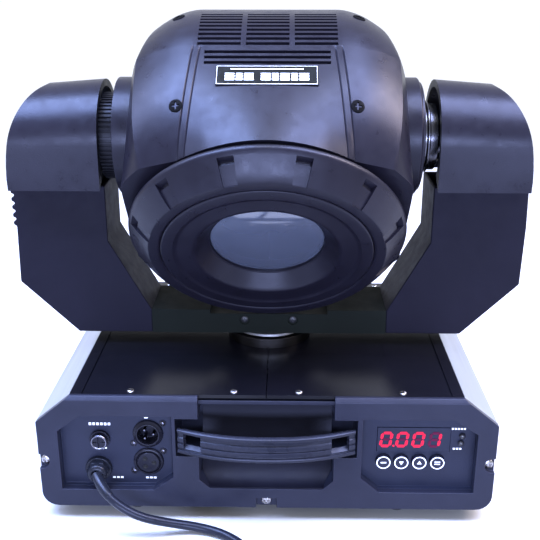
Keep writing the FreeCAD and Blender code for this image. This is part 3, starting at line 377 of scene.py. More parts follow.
def half_section(reach, angle):
    """(x, h) points from the middle out and down the side, for one station of the head's shell."""
    ahead = max(0.0, reach) / FRONT
    fold_x, fold_h = 55 + 11 * ahead, BACK_RADIUS - 24 * ahead ** 3
    crease_x = 102 - 8 * ahead ** 3 - 0.34 * min(angle, 60)
    crease_h = 88.5 - 17.5 * ahead ** 3 + 0.06 * min(angle, 60)
    shift = 8 * ahead
    xs = list(INNER_XS) + [x + shift for x in GROOVE_XS]
    start = xs[-1]
    xs += [start + (crease_x - start) * step for step in WING_STEPS]
    section = [(x, crown(x, ahead, fold_x, fold_h, crease_x, crease_h)) for x in xs]
    if reach >= 3:
        for k in SUNK:
            x, h = section[len(INNER_XS) + k]
            section[len(INNER_XS) + k] = (x, h - 0.8)
    for q in SIDE_STEPS:
        swell = 1 - (1 - q) ** (1.9 - 0.65 * ahead)
        section.append((crease_x + (110.8 - crease_x) * swell, crease_h + (48 - crease_h) * q))
    return section


def head_stations(marks_ahead, marks_behind):
    ahead = sorted(set([FRONT, 91.5, 87, 80, 72, 64, 56, 48, 40, 32, 25, 3.0, 0.0] + marks_ahead),
                   reverse=True)
    behind = sorted(set([31, 36, 42, 48, 54, 60, 66, 72, 78, 84, 89.9] + marks_behind))
    return [(reach, 0.0) for reach in ahead] + [(0.0, angle) for angle in behind]


def head_cover(name, node, up, marks_ahead, marks_behind, is_slot):
    stations = head_stations(marks_ahead, marks_behind)
    rows, walls = [], []
    for reach, angle in stations:
        half = half_section(reach, angle)
        line = [(-x, h) for x, h in reversed(half)][:-1] + half
        turn = math.radians(angle)
        if angle:
            rows.append([(x, h * math.sin(turn), up * h * math.cos(turn)) for x, h in line])
        else:
            rows.append([(x, -reach, up * h) for x, h in line])
            walls.append([(side * SIDE_X, -reach, up * h) for side in (-1, 1) for h in (30, 15, SPLIT_GAP)])
    width = len(rows[0])
    points = [p for row in rows for p in row]
    faces = []
    for i in range(len(rows) - 1):
        for j in range(width - 1):
            left, right = rows[i][j][0], rows[i][j + 1][0]
            if not is_slot(stations[i], stations[i + 1], (left + right) / 2, max(abs(left), abs(right))):
                faces.append((i * width + j, i * width + j + 1, (i + 1) * width + j + 1, (i + 1) * width + j))
    for i in range(len(walls) - 1):         # flat sides ahead of the tilt axis
        for edge, levels in ((0, slice(0, 3)), (width - 1, slice(3, 6))):
            a = [rows[i][edge]] + walls[i][levels]
            b = [rows[i + 1][edge]] + walls[i + 1][levels]
            start = len(points)
            points += a + b
            faces += [(start + k, start + k + 1, start + 5 + k, start + 4 + k) for k in range(3)]
    rim = [walls[0][2], walls[0][1], walls[0][0]] + rows[0] + walls[0][3:6]
    start = len(points)
    for x, y, z in rim:                     # front wall, in to the bezel's seat
        away = math.atan2(z, x)
        points += [(x, y, z), (SEAT_RADIUS * math.cos(away), y, SEAT_RADIUS * math.sin(away))]
    faces += [(start + 2 * k, start + 2 * k + 1, start + 2 * k + 3, start + 2 * k + 2)
              for k in range(len(rim) - 1)]
    cover = piece(name, points, faces, "head", "charcoal_moulding", "moulding", HEAD, (node,), sharp=0)
    outward(cover, lambda f: f.center.z * up, lambda f: f.normal.z * up)
    thicken(cover, 3)
    bevel(cover, 0.5, 2, 34)


def upper_slot(near, far, middle, edge):
    if not near[1] and not far[1] and near[0] > 0:
        return edge <= 47.6 and any(far[0] >= a - 0.01 and near[0] <= b + 0.01 for a, b in LONG_SLOTS)
    inside = any(near[1] >= a - 0.01 and far[1] <= b + 0.01 for a, b in VENT_ROWS)
    return inside and (abs(middle) < 16.5 or 20.5 < abs(middle) < 53.5)


LOWER_SLOTS = [(4.0 + 8.0 * row, 8.6 + 8.0 * row) for row in range(9)]


def lower_slot(near, far, middle, edge):
    row = any(far[0] >= a - 0.01 and near[0] <= b + 0.01 for a, b in LOWER_SLOTS)
    ahead = row and not near[1] and not far[1] and far[0] > 0
    return ahead and (abs(middle) < 16.5 or 20.5 < abs(middle) < 47.5)


def build_head():
    marks = [reach for slot in LONG_SLOTS for reach in slot]
    head_cover("UpperCover", "head_top_cover", 1, marks, [a for row in VENT_ROWS for a in row], upper_slot)
    head_cover("LowerCover", "head_bottom_cover", -1, [reach for slot in LOWER_SLOTS for reach in slot],
               [1.0, 9.0, 20.0], lower_slot)
    bezel()
    retainer()


# ---------------------------------------------------------------- bezel and lens
NOTCHES = 12
NOTCH_HALF = 3.3                # half angle that a notch spans
BEZEL = [(84, 93), (101, 93), (101, 100.5), (108, 101), (109.6, 101.9), (110, 103.4), (109.7, 105),
         (108.9, 106.4), (107.6, 108), (107.6, 108.01), (104.6, 111.4), (104.6, 111.41), (101.3, 115.2),
         (97.6, 119), (94.4, 121.8), (93.2, 122.6), (92.4, 123), (86.2, 123), (84.9, 122.4), (84, 121.4)]
POCKET = {9: 102.4, 10: 101.4, 11: 102.4, 12: 99.1, 13: 95.6, 14: 92.6, 15: 92.2}     # radii inside a notch


def bezel():
    angles = []
    for number in range(NOTCHES):
        middle = 15 + 30 * number
        angles += [(middle - NOTCH_HALF, False), (middle - NOTCH_HALF, True), (middle, True),
                   (middle + NOTCH_HALF, True), (middle + NOTCH_HALF, False)]
        angles += [(middle + NOTCH_HALF + step, False) for step in (3.6, 7.2, 10.9, 14.6, 18.2)]
    points = []
    for angle, inside in angles:
        turn = math.radians(angle)
        for k, (r, level) in enumerate(BEZEL):
            if inside:
                r = POCKET.get(k, r)
            points.append((r * math.cos(turn), r * math.sin(turn), level))
    count, total = len(BEZEL), len(angles)
    faces = [(i * count + k, (i + 1) % total * count + k, (i + 1) % total * count + (k + 1) % count,
              i * count + (k + 1) % count) for i in range(total) for k in range(count)]
    ring = piece("BezelRing", points, faces, "head", "charcoal_moulding",
                 "moulding", LENS_AXIS, ("bezel_ring",), 0)
    bevel(ring, 0.35, 2, 35)


def retainer():
    profile = [(47.5, 109), (83.7, 109), (83.7, 121.6), (83.0, 122.5), (81.6, 122.8),
               (74.4, 122.8), (73.6, 122.4), (72, 121.4), (70, 121.0), (60, 121.35),
               (58, 121.4), (56.6, 120.6), (55.3, 119.2), (46.4, 109.5),
               (45.6, 109.5), (45.6, 105.2), (43.4, 105.2), (43.4, 101), (47.5, 101)]
    ring = lathe("LensRing", profile, "head", "charcoal_moulding",
                 "moulding", LENS_AXIS, 128, ("lens_retainer",), sharp=0)
    bevel(ring, 0.4, 2, 40)
    steps = 14
    face = [(45.3 * k / steps, 111.5 - (45.3 * k / steps) ** 2 / 440) for k in range(steps + 1)]
    lathe("FrontLens", face + [(45.3, 105.3), (0, 105.3)], "head", "lens_glass", "lens", LENS_AXIS, 96,
          ("front_lens",), closed=False)


# ---------------------------------------------------------------- yoke ends
def axis_x(x, y=0.0, z=0.0):
    """Matrix whose local z runs along +X from a point in millimetres."""
    return Matrix.Translation(Vector((x, y, z)) * MM) @ Matrix.Rotation(math.radians(90), 4, "Y")


def facing_front(x, y, z):
    """Matrix whose local z points out of the front panel at a point in millimetres."""
    return Matrix.Translation(Vector((x, y, z)) * MM) @ Matrix.Rotation(math.radians(90), 4, "X")


TILT_Z = TILT_AT.z / MM
DRUM_RADIUS = 48.0
DRUM_FOOT = 258.7
DRUM_MOUTH_X = 139.0
DRUM_MOUTH_RADIUS = 42.0
DRUM_END_Z = 268.0              # level at which the drum's outer end stands out most


def drum_cap(side):
    """Bearing cover: a half cylinder about the tilt axis with an elliptical outer end and a round mouth."""
    rows = [(-DRUM_RADIUS, z) for z in (DRUM_FOOT, DRUM_END_Z, 278, 288)]
    rows += [(-DRUM_RADIUS * math.cos(math.radians(a)), TILT_Z + DRUM_RADIUS * math.sin(math.radians(a)))
             for a in range(0, 90, 6)]
    rows += [(0.0, TILT_Z + DRUM_RADIUS)] + [(-y, z) for y, z in reversed(rows)]
    shares = (0.0, 0.02, 0.25, 0.5, 0.75, 0.97, 1.0)
    points, faces = [], []
    for y, z in rows:
        end = 182 + 33.5 * math.sqrt(max(0.0, 1 - ((z - DRUM_END_Z) / 76.5) ** 2))
        upper = max(0.0, min(1.0, (z - DRUM_END_Z) / 57))
        for share in shares:                # the drum narrows a little towards its outer end
            slim = 1 - 0.075 * share * upper
            points.append((side * (DRUM_MOUTH_X + (end - DRUM_MOUTH_X) * share), y * slim,
                           TILT_Z + (z - TILT_Z) * slim if z > TILT_Z else z))
    count = len(shares)
    for i in range(len(rows) - 1):
        faces += [(i * count + k, i * count + k + 1, (i + 1) * count + k + 1, (i + 1) * count + k)
                  for k in range(count - 1)]
    half = (len(rows) - 1) // 2
    across = 6
    start = len(points)
    for i in range(half + 1):               # outer end, level by level
        x, y, z = points[i * count + count - 1]
        points += [(x, y * (1 - 2 * k / across), z) for k in range(across + 1)]
    faces += [(start + i * (across + 1) + k, start + i * (across + 1) + k + 1,
               start + (i + 1) * (across + 1) + k + 1, start + (i + 1) * (across + 1) + k)
              for i in range(half) for k in range(across)]
    start = len(points)
    for y, z in rows:                       # inner wall, in to the mouth
        away = math.atan2(z - TILT_Z, y)
        points += [(side * DRUM_MOUTH_X, y, z), (side * DRUM_MOUTH_X, DRUM_MOUTH_RADIUS * math.cos(away),
                                                 TILT_Z + DRUM_MOUTH_RADIUS * math.sin(away))]
    faces += [(start + 2 * k, start + 2 * k + 1, start + 2 * k + 3, start + 2 * k + 2)
              for k in range(len(rows) - 1)]
    name = "right" if side > 0 else "left"
    cap = piece("DrumCap_" + name, points, faces, "yoke", "charcoal_moulding", "moulding",
                replaced=("drum_cap_" + name,), sharp=0)
    outward(cap, lambda f: f.center.z, lambda f: f.normal.z)
    cap.data.materials.append(MATERIALS["lining"])
    # painted shade: the mouth's faces get the near-black second material, standing in for the shade there
    for face in cap.data.polygons:
        if abs(face.center.x) < (DRUM_MOUTH_X + 0.2) * MM and abs(face.normal.x) > 0.9:
            face.material_index = 1         # the mouth's face is in shade
    thicken(cap, 2.5)
    bevel(cap, 1.3, 3, 34)


def right_trunnion():
    """Moulded flange on the head with a bright turned collar running into the right arm."""
    flange = [(20, 0), (48.6, 0), (49.5, 0.8), (49.5, 12.5), (48.6, 13.4),
              (46.5, 13.6), (46, 14.0), (46, 15.4), (45.4, 16), (20, 16)]
    bevel(lathe("HeadFlange", flange, "head", "charcoal_moulding", "moulding", axis_x(111, 0, TILT_Z), 96,
                ("trunnion_right",), sharp=0), 0.4)
    collar = [(20, 16), (28, 16), (28, 20), (30.2, 20.4), (30.5, 21), (30.5, 22), (30.2, 22.4),
              (28, 23), (28, 29), (27, 30), (20.1, 30), (20.1, 61), (12, 61), (12, 16)]
    bevel(lathe("BrightCollar", collar, "head", "chrome_collar",
                "chrome", axis_x(111, 0, TILT_Z), 96, sharp=0), 0.3)


# ---------------------------------------------------------------- handles and scoop
HANDLE_RIBS = [(62.3, -2.6), (62.8, -1.2), (63.8, -0.2), (65.0, 0), (66.0, -0.5), (66.5, -1.9), (67.1, -2.2),
               (67.7, -1.7), (68.3, -0.8), (70.2, -0.7), (71.6, -0.8), (72.0, -1.9), (72.6, -2.2),
               (73.2, -1.9), (73.7, -0.8), (75.1, -0.7), (77.0, -0.8), (77.5, -1.8), (78.2, -2.4),
               (80.6, -2.4), (81.3, -1.7), (81.9, -0.4), (83.0, 0), (84.0, -0.2), (84.7, -1.2), (85, -2.6)]
HANDLE_END = 71.5
HANDLE_FACE = 131.9             # distance from the middle of the base to the grip's ends
HANDLE_SLOT_X = (52.1, 66.6)
HANDLE_SLOT_Z = (67.6, 80.7)
HANDLE_XS = [-HANDLE_END, -69.5, -66.5, -65.2, -62, -57, -53.6,
             -52.2, -48, -42, -36, -30, -24, -18, -12, -6, 0]


def handle(front, bow):
    """Bowed grip with rounded rims, moulded lines along it and a slot at each end."""
    xs = HANDLE_XS + [-x for x in reversed(HANDLE_XS[:-1])]
    points = []
    for x in xs:
        out = HANDLE_FACE + bow * (1 - abs(x / HANDLE_END) ** 2.3)
        points += [(x, -(out + ridge), z) for z, ridge in HANDLE_RIBS]
    count = len(HANDLE_RIBS)
    faces = []
    for i in range(len(xs) - 1):
        for k in range(count - 1):
            near = min(abs(xs[i]), abs(xs[i + 1]))
            far = max(abs(xs[i]), abs(xs[i + 1]))
            low, high = HANDLE_RIBS[k][0], HANDLE_RIBS[k + 1][0]
            open_x = HANDLE_SLOT_X[0] < near and far < HANDLE_SLOT_X[1]
            if not (open_x and low >= HANDLE_SLOT_Z[0] and high <= HANDLE_SLOT_Z[1]):
                faces.append((i * count + k, i * count + k + 1, (i + 1) * count + k + 1, (i + 1) * count + k))
    matrix = WORLD if front else Matrix.Rotation(math.pi, 4, "Z")
    name = "front" if front else "rear"
    grip = piece("Grip_" + name, points, faces, "base", "handle_black",
                 "handle", matrix, (name + "_handle",), sharp=0)
    outward(grip, lambda f: abs(f.center.y), lambda f: f.normal.y * f.center.y)
    thicken(grip, 4.2)
    bevel(grip, 0.8, 3, 40)


def scoop(front):
    """Curved liner of the hollow behind the handle."""
    points, steps = [], 16
    wide = 54.2
    xs = (-wide, -53.9, -50, -40, -20, 0, 20, 40, 50, 53.9, wide)
    for step in range(steps + 1):
        turn = math.pi / 2 * step / steps
        y, z = -93 - 38.4 * (1 - math.cos(turn)), 104 - 73.4 * math.sin(turn)
        limit = wide if z > 38 else 46.4 + (z - 30) * 0.97
        points += [(max(-limit, min(limit, x)), y, z) for x in xs]
    width = len(xs)
    faces = [(i * width + k, i * width + k + 1, (i + 1) * width + k + 1, (i + 1) * width + k)
             for i in range(steps) for k in range(width - 1)]
    matrix = WORLD if front else Matrix.Rotation(math.pi, 4, "Z")
    name = "Scoop_front" if front else "Scoop_rear"
    # the liner takes the darkened charcoal: painted shade in the hollow
    liner = piece(name, points, faces, "base", "charcoal_moulding", "hollow", matrix, sharp=0)
    thicken(liner, 1.0, 0)
    bevel(liner, 0.3, 2, 50)


# ---------------------------------------------------------------- small fittings
FLOOR_Y = -122.0                # floor of the two front recesses
XLR_MALE = (-96.5, 75.3)
XLR_FEMALE = (-97.0, 49.4)
FUSE = (-136.0, 70.0)
GLAND = (-138.5, 43.0)
BUTTON_XS = (95.5, 110.0, 124.7, 139.3)
BUTTON_Z = 52.5
LIGHTS = ((158.5, 76.0), (157.8, 69.5))
DIGIT_XS = (97.2, 110.2, 123.2, 136.6)
DIGIT_Z = 72.2


def turned_part(profile, matrix, steps=40):
    """Points and faces of a turned solid, its matrix working in millimetres."""
    count = len(profile)
    points = [tuple(matrix @ Vector((r * math.cos(2 * math.pi * s / steps),
                                     r * math.sin(2 * math.pi * s / steps), z)))
              for s in range(steps) for r, z in profile]
    faces = [(s * count + k, (s + 1) % steps * count + k, (s + 1) % steps * count + k + 1, s * count + k + 1)
             for s in range(steps) for k in range(count - 1)]
    return points, faces


def front_at(x, y, z):
    return Matrix.Translation((x, y, z)) @ Matrix.Rotation(math.radians(90), 4, "X")


def screw_part(matrix, radius, height=1.4):
    """Domed screw head with a cross recess, standing on the matrix's z = 0."""
    bar, half, sunk = radius * 0.16, radius * 0.62, height - 0.9
    dome = [(0, height), (half, height * 0.93), (radius * 0.86, height * 0.62),
            (radius, height * 0.2), (radius, -0.6), (0, -0.6)]
    steps = 32
    points, faces = turned_part(dome[2:5], Matrix.Identity(4), steps)
    cross = [(half, -bar), (half, bar), (bar, bar), (bar, half), (-bar, half), (-bar, bar), (-half, bar),
             (-half, -bar), (-bar, -bar), (-bar, -half), (bar, -half), (bar, -bar)]
    start = len(points)
    points += [(x, y, height * 0.92) for x, y in cross] + [(x, y, sunk) for x, y in cross]
    count = len(cross)
    faces += [(start + k, start + (k + 1) % count, start + count + (k + 1) % count, start + count + k)
              for k in range(count)]
    faces.append(tuple(start + count + k for k in range(count)))
    ahead = {k: round(steps * math.atan2(cross[k][1], cross[k][0]) / (2 * math.pi)) % steps
             for k in range(count)}
    for k in range(count):                  # top face between the cross and the dome's shoulder
        a, b = ahead[k], ahead[(k + 1) % count]
        span = [(a + n) % steps for n in range((b - a) % steps + 1)]
        faces.append(tuple([start + (k + 1) % count, start + k] + [n * 3 for n in span]))
    return moved((points, faces), matrix)


def screws(name, places, body, slot, finish_name, node):
    parts = [screw_part(matrix, radius, height) for matrix, radius, height in places]
    piece(name, *joined(parts), body, slot, finish_name, replaced=(node,), sharp=40)


def shell_level(x, reach, angle):
    """Height of the upper head cover over a point, along its station."""
    section = half_section(reach, angle)
    for (xa, ha), (xb, hb) in zip(section, section[1:]):
        if xa <= x <= xb:
            return ha + (hb - ha) * (x - xa) / (xb - xa)
    raise ValueError("no cover over this point")


def on_shell(x, reach, angle):
    """Matrix in millimetres that stands on the upper head cover and points out of it."""
    far = abs(x)
    across = (shell_level(far + 2, reach, angle) - shell_level(far - 2, reach, angle)) / 4
    along = 0.0 if angle else (shell_level(far, reach - 2, angle) - shell_level(far, reach + 2, angle)) / 4
    back = Matrix.Rotation(math.radians(-angle), 4, "X")
    lean = (Matrix.Rotation(math.atan(along), 4, "X")
            @ Matrix.Rotation(math.copysign(math.atan(-across), x), 4, "Y"))
    return back @ Matrix.Translation((x, -reach, shell_level(far, reach, angle) + 0.2)) @ lean


def all_screws():
    places = [(Matrix.Translation((x, y, 113)), 3.0, 1.2) for x in (-109, -26, 26, 109) for y in (-120, 120)]
    for turn in (0, math.pi):
        for x, z in ((-179.8, 54), (179.8, 54), (0, 17.4)):
            places.append((Matrix.Rotation(turn, 4, "Z") @ front_at(x, -128.2, z), 4.3, 1.7))
    screws("BaseScrews", places, "base", "screw_black", "screw", "base_screws")
    screws("YokeScrews", [(front_at(x, -28.6, 137), 3.2, 1.1) for x in (-21.5, 21.5)], "yoke", "screw_black",
           "darkscrew", "yoke_screws")
    tilt = Matrix.Translation((0, 0, TILT_Z)) @ Matrix.Rotation(DROOP, 4, "X")
    # the head's screws are low near-black heads: painted shadow of the recessed screw holes
    places = [(tilt @ on_shell(side * 66.5, 56.0, 0.0), 5.1, 0.6) for side in (-1, 1)]
    places += [(tilt @ on_shell(side * 72.0, 0.0, 26.0), 5.1, 0.6) for side in (-1, 1)]
    screws("HeadScrews", places, "head", "screw_black", "hole", "head_screws")


def xlr_ring(name, place, profile, node):
    x, z = place
    ring = lathe(name, profile, "base", "connector_shell", "fitting",
                 facing_front(x, FLOOR_Y, z), 64, (node,), sharp=0)
    bevel(ring, 0.25, 2, 35)
    spots = [(x + sx, z + sz) for sx, sz in ((12.2, 9.3), (-12.2, -9.3))]
    parts = [screw_part(front_at(a, FLOOR_Y - 0.4, b), 2.0, 0.9) for a, b in spots]
    piece(name + "_screws", *joined(parts), "base", "connector_shell", "darkchrome", sharp=40)
    washers = [turned_part([(2.1, -0.4), (3.0, -0.4), (3.1, 0.2), (2.9, 0.5), (2.1, 0.5)],
                           front_at(a, FLOOR_Y, b), 28)
               for a, b in spots]
    piece(name + "_eyelets", *joined(washers), "base", "connector_shell", "fitting", sharp=30)


def connectors():
    male = [(12.4, 0), (12.4, 1.2), (11.8, 2.0), (10.4, 2.6), (9.6, 3.6), (8.6, 3.6), (8.5, -8), (0.01, -8),
            (0.01, -9), (9.5, -9), (9.5, 0)]
    female = [(12.4, 0), (12.4, 1.2), (11.8, 2.0), (10.6, 2.4), (10.2, 1.0), (9.4, 0.6),
              (9.1, 2.4), (8.7, 3.0), (0.01, 3.0), (0.01, -2), (9.4, -2), (9.5, 0)]
    xlr_ring("LineInput", XLR_MALE, male, "xlr_male")
    xlr_ring("LineOutput", XLR_FEMALE, female, "xlr_female")
    spots = [(4.6 * math.cos(math.radians(a)), 4.6 * math.sin(math.radians(a))) for a in (0, 125, 235)]
    pin = [(0.01, 2.4), (0.8, 2.2), (1.2, 1.4), (1.2, -8), (0.01, -8)]
    parts = [turned_part(pin, front_at(XLR_MALE[0] + a, FLOOR_Y, XLR_MALE[1] + b), 20) for a, b in spots]
    piece("LinePins", *joined(parts), "base", "connector_shell", "darkchrome", sharp=30)
    eye = [(0.01, 0.2), (1.2, 0.2), (1.5, 0.35), (1.9, 0.3), (2.0, 0.0)]
    parts = [turned_part(eye, front_at(XLR_FEMALE[0] + a, FLOOR_Y - 3.0, XLR_FEMALE[1] + b), 20)
             for a, b in spots]
    # painted shade: near-black discs stand in for the shade inside the socket's holes
    piece("LineSockets", *joined(parts), "base", "connector_shell", "lining", sharp=30)
    ring = [(6.75, 0), (6.75, 3.2), (6.3, 3.9), (5.5, 4.0), (5.2, 3.6), (5.2, 3.35)]
    lathe("FuseRim", ring, "fuse_cap", "fuse_black", "darkchrome",
          facing_front(FUSE[0], FLOOR_Y - 3.2, FUSE[1]), 48, closed=False, sharp=30)


def cable_gland():
    """Hexagonal clamping nut and domed collar round the cord."""
    x, z = GLAND
    collar = [(3.4, 4), (10.4, 4), (10.8, 3.4), (10.8, 0), (7, 0), (7, -10), (3.4, -10)]
    bevel(lathe("GlandCollar", collar, "base", "gland_nylon", "nylon", facing_front(x, FLOOR_Y, z), 64,
                ("cable_gland",), sharp=0), 0.4)
    outline = [(9.6 * math.cos(math.radians(a)), 9.6 * math.sin(math.radians(a))) for a in range(0, 360, 60)]
    nut = moved(prism_points(outline, 4, 8), front_at(x, FLOOR_Y, z))
    bevel(piece("GlandNut", *nut, "base", "gland_nylon", "nylon", sharp=0), 0.6)
    dome = [(8.4, 7.6), (8.4, 9.2), (8.0, 10.8), (7.0, 12.2),
            (5.6, 12.9), (4.4, 13.0), (3.7, 12.4), (3.5, 7.6)]
    lathe("GlandDome", dome, "base", "gland_nylon", "nylon", facing_front(x, FLOOR_Y, z), 48, sharp=50)


SEGMENTS = {"a": ((-3.4, 6.0), (3.4, 6.0)), "b": ((3.8, 5.7), (3.8, 0.3)), "c": ((3.8, -0.3), (3.8, -5.7)),
            "d": ((-3.4, -6.0), (3.4, -6.0)), "e": ((-3.8, -0.3), (-3.8, -5.7)),
            "f": ((-3.8, 5.7), (-3.8, 0.3)), "g": ((-3.2, 0), (3.2, 0))}
SHOWN = ("abcdef", "abcdef", "abcdef", "bc")
LEAN = 0.14


def segment(x, ends):
    """One bar of a digit: a six-sided block between two ends, leaning with the digit."""
    (xa, za), (xb, zb) = ends
    along = Vector((xb - xa, zb - za)).normalized()
    side = Vector((-along.y, along.x)) * 1.15
    tip = along * 1.0
    a, b = Vector((xa, za)), Vector((xb, zb))
    outline = [a, a + tip + side, b - tip + side, b, b - tip - side, a + tip - side]
    flat = [(x + p.x + LEAN * p.y, DIGIT_Z + p.y) for p in outline]
    count = len(flat)
    points = [(u, y, w) for y in (FLOOR_Y - 0.85, FLOOR_Y - 0.4) for u, w in flat]
    faces = [tuple(range(count)), tuple(range(count, 2 * count))]
    faces += [(k, (k + 1) % count, count + (k + 1) % count, count + k) for k in range(count)]
    return points, faces


def display():
    lit, dim = [], []
    for x, shown in zip(DIGIT_XS, SHOWN):
        for letter, ends in SEGMENTS.items():
            (lit if letter in shown else dim).append(segment(x, ends))
    point = [(0.9, -0.4), (0.9, 0.4), (0.01, 0.4)]
    lit.append(turned_part(point, front_at(DIGIT_XS[0] + 6.1, FLOOR_Y - 0.5, 66.4), 16))
    piece("DigitsLit", *joined(lit), "base", "display_red", "red_lit", sharp=30)
    # painted glow: the unlit segments glow faintly
    piece("DigitsUnlitPaintedGlow", *joined(dim), "base", "display_red", "red_dim", sharp=30)
    domes = [turned_part([(2.6, 1.0), (2.5, 1.7), (1.6, 2.6), (0.01, 2.9)], front_at(x, FLOOR_Y, z), 24)
             for x, z in LIGHTS]
    piece("IndicatorDomes", *joined(domes), "base", "display_red", "insert", sharp=60)


def print_bar(x, z, wide, tall, y, lift=0.12):
    """Thin raised bar of white print facing the front."""
    points = [(x + a * wide / 2, b, z + c * tall / 2) for b in (y - lift, y) for a, c in
              ((-1, -1), (1, -1), (1, 1), (-1, 1))]
    faces = [(0, 1, 2, 3), (7, 6, 5, 4)] + [(k, (k + 1) % 4, 4 + (k + 1) % 4, 4 + k) for k in range(4)]
    return points, faces


def arrow(x, z, up, y, size=1.9, lift=0.12):
    corners = [(x - size, z - up * size * 0.6), (x + size, z - up * size * 0.6), (x, z + up * size)]
    points = [(a, b, c) for b in (y - lift, y) for a, c in corners]
    return points, [(0, 1, 2), (5, 4, 3)] + [(k, (k + 1) % 3, 3 + (k + 1) % 3, 3 + k) for k in range(3)]


def prints():
    """White rings and plain symbols on the buttons, and short dashes beside the fittings."""
    front = -126.0                  # the buttons' faces
    ring = [(4.85, 0), (4.85, 0.12), (5.7, 0.12), (5.7, 0)]
    symbols = [[print_bar(BUTTON_XS[0], BUTTON_Z, 4.6, 1.1, front)],
               [arrow(BUTTON_XS[1], BUTTON_Z, -1, front)], [arrow(BUTTON_XS[2], BUTTON_Z, 1, front)],
               [print_bar(BUTTON_XS[3], BUTTON_Z + lift, 4.6, 0.8, front) for lift in (1, -1)]]
    for number, (x, marks) in enumerate(zip(BUTTON_XS, symbols), start=1):
        body = f"menu_button_{number}"
        parts = marks + [turned_part(ring, front_at(x, front, BUTTON_Z), 48)]
        piece(f"ButtonPrint_{number}", *joined(parts), body, "button_black", "white", sharp=30)
    dashes = [(-143.5 + 3.1 * n, 83.6, 2.0, 2.3) for n in range(6)]
    dashes += [(-97.5, 89.6, 3, 0.9), (-139.5, 61.2, 1.7, 1.3), (-137, 60.8, 1.7, 1.3),
               (-134.5, 60.8, 1.7, 1.3), (-132, 61.2, 1.7, 1.3), (-126.5, 33.4, 2.2, 1.6),
               (-123.3, 33.4, 2.2, 1.6), (-120.1, 33.4, 2.2, 1.6),
               (-99.0, 33.4, 2.2, 1.6), (-95.8, 33.4, 2.2, 1.6), (-92.6, 33.4, 2.2, 1.6)]
    dashes += [(150.5 + 2.4 * n, 82.2, 1.6, 1.5) for n in range(5)]
    dashes += [(152.6 + 2.6 * n, 63.8, 1.8, 1.5) for n in range(3)]
    parts = [print_bar(x, z, wide, tall, FLOOR_Y) for x, z, wide, tall in dashes]
    piece("PanelPrint", *joined(parts), "base", "charcoal_moulding", "white", sharp=30)


LABEL_TOP = 104.7               # level of the label's face over the tilt axis
STRIPES = (8.2, 6.0, 8.2, 0, 8.2, 6.0, 8.2, 6.0, 8.2)      # widths, with 0 for a space
STRIPE_ROWS = ((-36.8, -34.4), (-33.4, -31.8), (-30.8, -29.8))


def flat_bar(x0, x1, y0, y1):
    """Thin raised bar on the label, in the head's own directions."""
    return prism_points([(x0, y0), (x1, y0), (x1, y1), (x0, y1)], LABEL_TOP, LABEL_TOP + 0.15)


def label():
    """Pale border and plain stripes on the head's label."""
    parts = [flat_bar(-37.2, 37.2, -40.6, -40.3), flat_bar(-37.2, 37.2, -22.7, -22.5),
             flat_bar(-37.2, -36.95, -40.3, -22.7), flat_bar(36.95, 37.2, -40.3, -22.7),
             flat_bar(-27, 27, -25.9, -25.1)]
    x = -31.0
    for wide in STRIPES:
        if wide:
            parts += [flat_bar(x, x + wide - 1.2, low, high) for low, high in STRIPE_ROWS]
        x += wide or 4.2
    tilt = Matrix.Translation((0, 0, TILT_Z)) @ Matrix.Rotation(DROOP, 4, "X")
    piece("LabelPrint", *joined([moved(part, tilt) for part in parts]),
          "head", "label_black", "white", sharp=30)


# ---------------------------------------------------------------- cord
CORD_RADIUS = 3.6
COIL_AT = (0.040, -0.270)
CORD_START = [(-0.1385, -0.134, 0.043), (-0.1315, -0.147, 0.0385), (-0.118, -0.156, 0.030),
              (-0.100, -0.158, 0.020), (-0.079, -0.153, 0.0115), (-0.056, -0.149, 0.0052),
              (-0.033, -0.156, 0.0038), (-0.014, -0.173, 0.0038), (-0.003, -0.196, 0.0039),
              (-0.0005, -0.218, 0.0038), (-0.0018, -0.240, 0.0038)]
COIL_TURNS = [(43.6, 3.8), (36.3, 3.8), (40.0, 10.0), (36.3, 16.2), (43.6, 16.2)]
TURN_POINTS = 16
CORD_END = [(-0.0034, -0.284, 0.0158), (-0.0015, -0.294, 0.0124), (0.0, -0.303, 0.0102), (0.0, -0.312, 0.010)]


def coil_points():
    """Turns of the coil, each passing to the next one's place over its last third."""
    points = []
    for number, (radius, level) in enumerate(COIL_TURNS):
        onward = COIL_TURNS[min(number + 1, len(COIL_TURNS) - 1)]
        for step in range(TURN_POINTS):
            share = max(0.0, (step / TURN_POINTS - 0.62) / 0.38)
            share = share * share * (3 - 2 * share)
            r = (radius + (onward[0] - radius) * share) * MM
            turn = math.pi + 2 * math.pi * step / TURN_POINTS
            points.append((COIL_AT[0] + r * math.cos(turn), COIL_AT[1] + r * math.sin(turn),
                           (level + (onward[1] - level) * share) * MM))
    return points


def cord():
    data = bpy.data.curves.new("MainsCord", "CURVE")
    data.dimensions = "3D"
    data.bevel_depth = CORD_RADIUS * MM
    data.bevel_resolution = 5
    data.resolution_u = 8
    data.use_fill_caps = True
    route = CORD_START + coil_points() + CORD_END
    spline = data.splines.new("NURBS")
    spline.points.add(len(route) - 1)
    for point, place in zip(spline.points, route):
        point.co = (*place, 1)
    spline.order_u = 3
    spline.use_endpoint_u = True
    data.materials.append(MATERIALS["jacket"])
    line = bpy.data.objects.new("MainsCord", data)
    bpy.context.scene.collection.objects.link(line)
    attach(line, "base")
    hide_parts("mains_cord", "cord_coil")
    strain_relief()
    tie = coil_tie()
    plug = mains_plug()


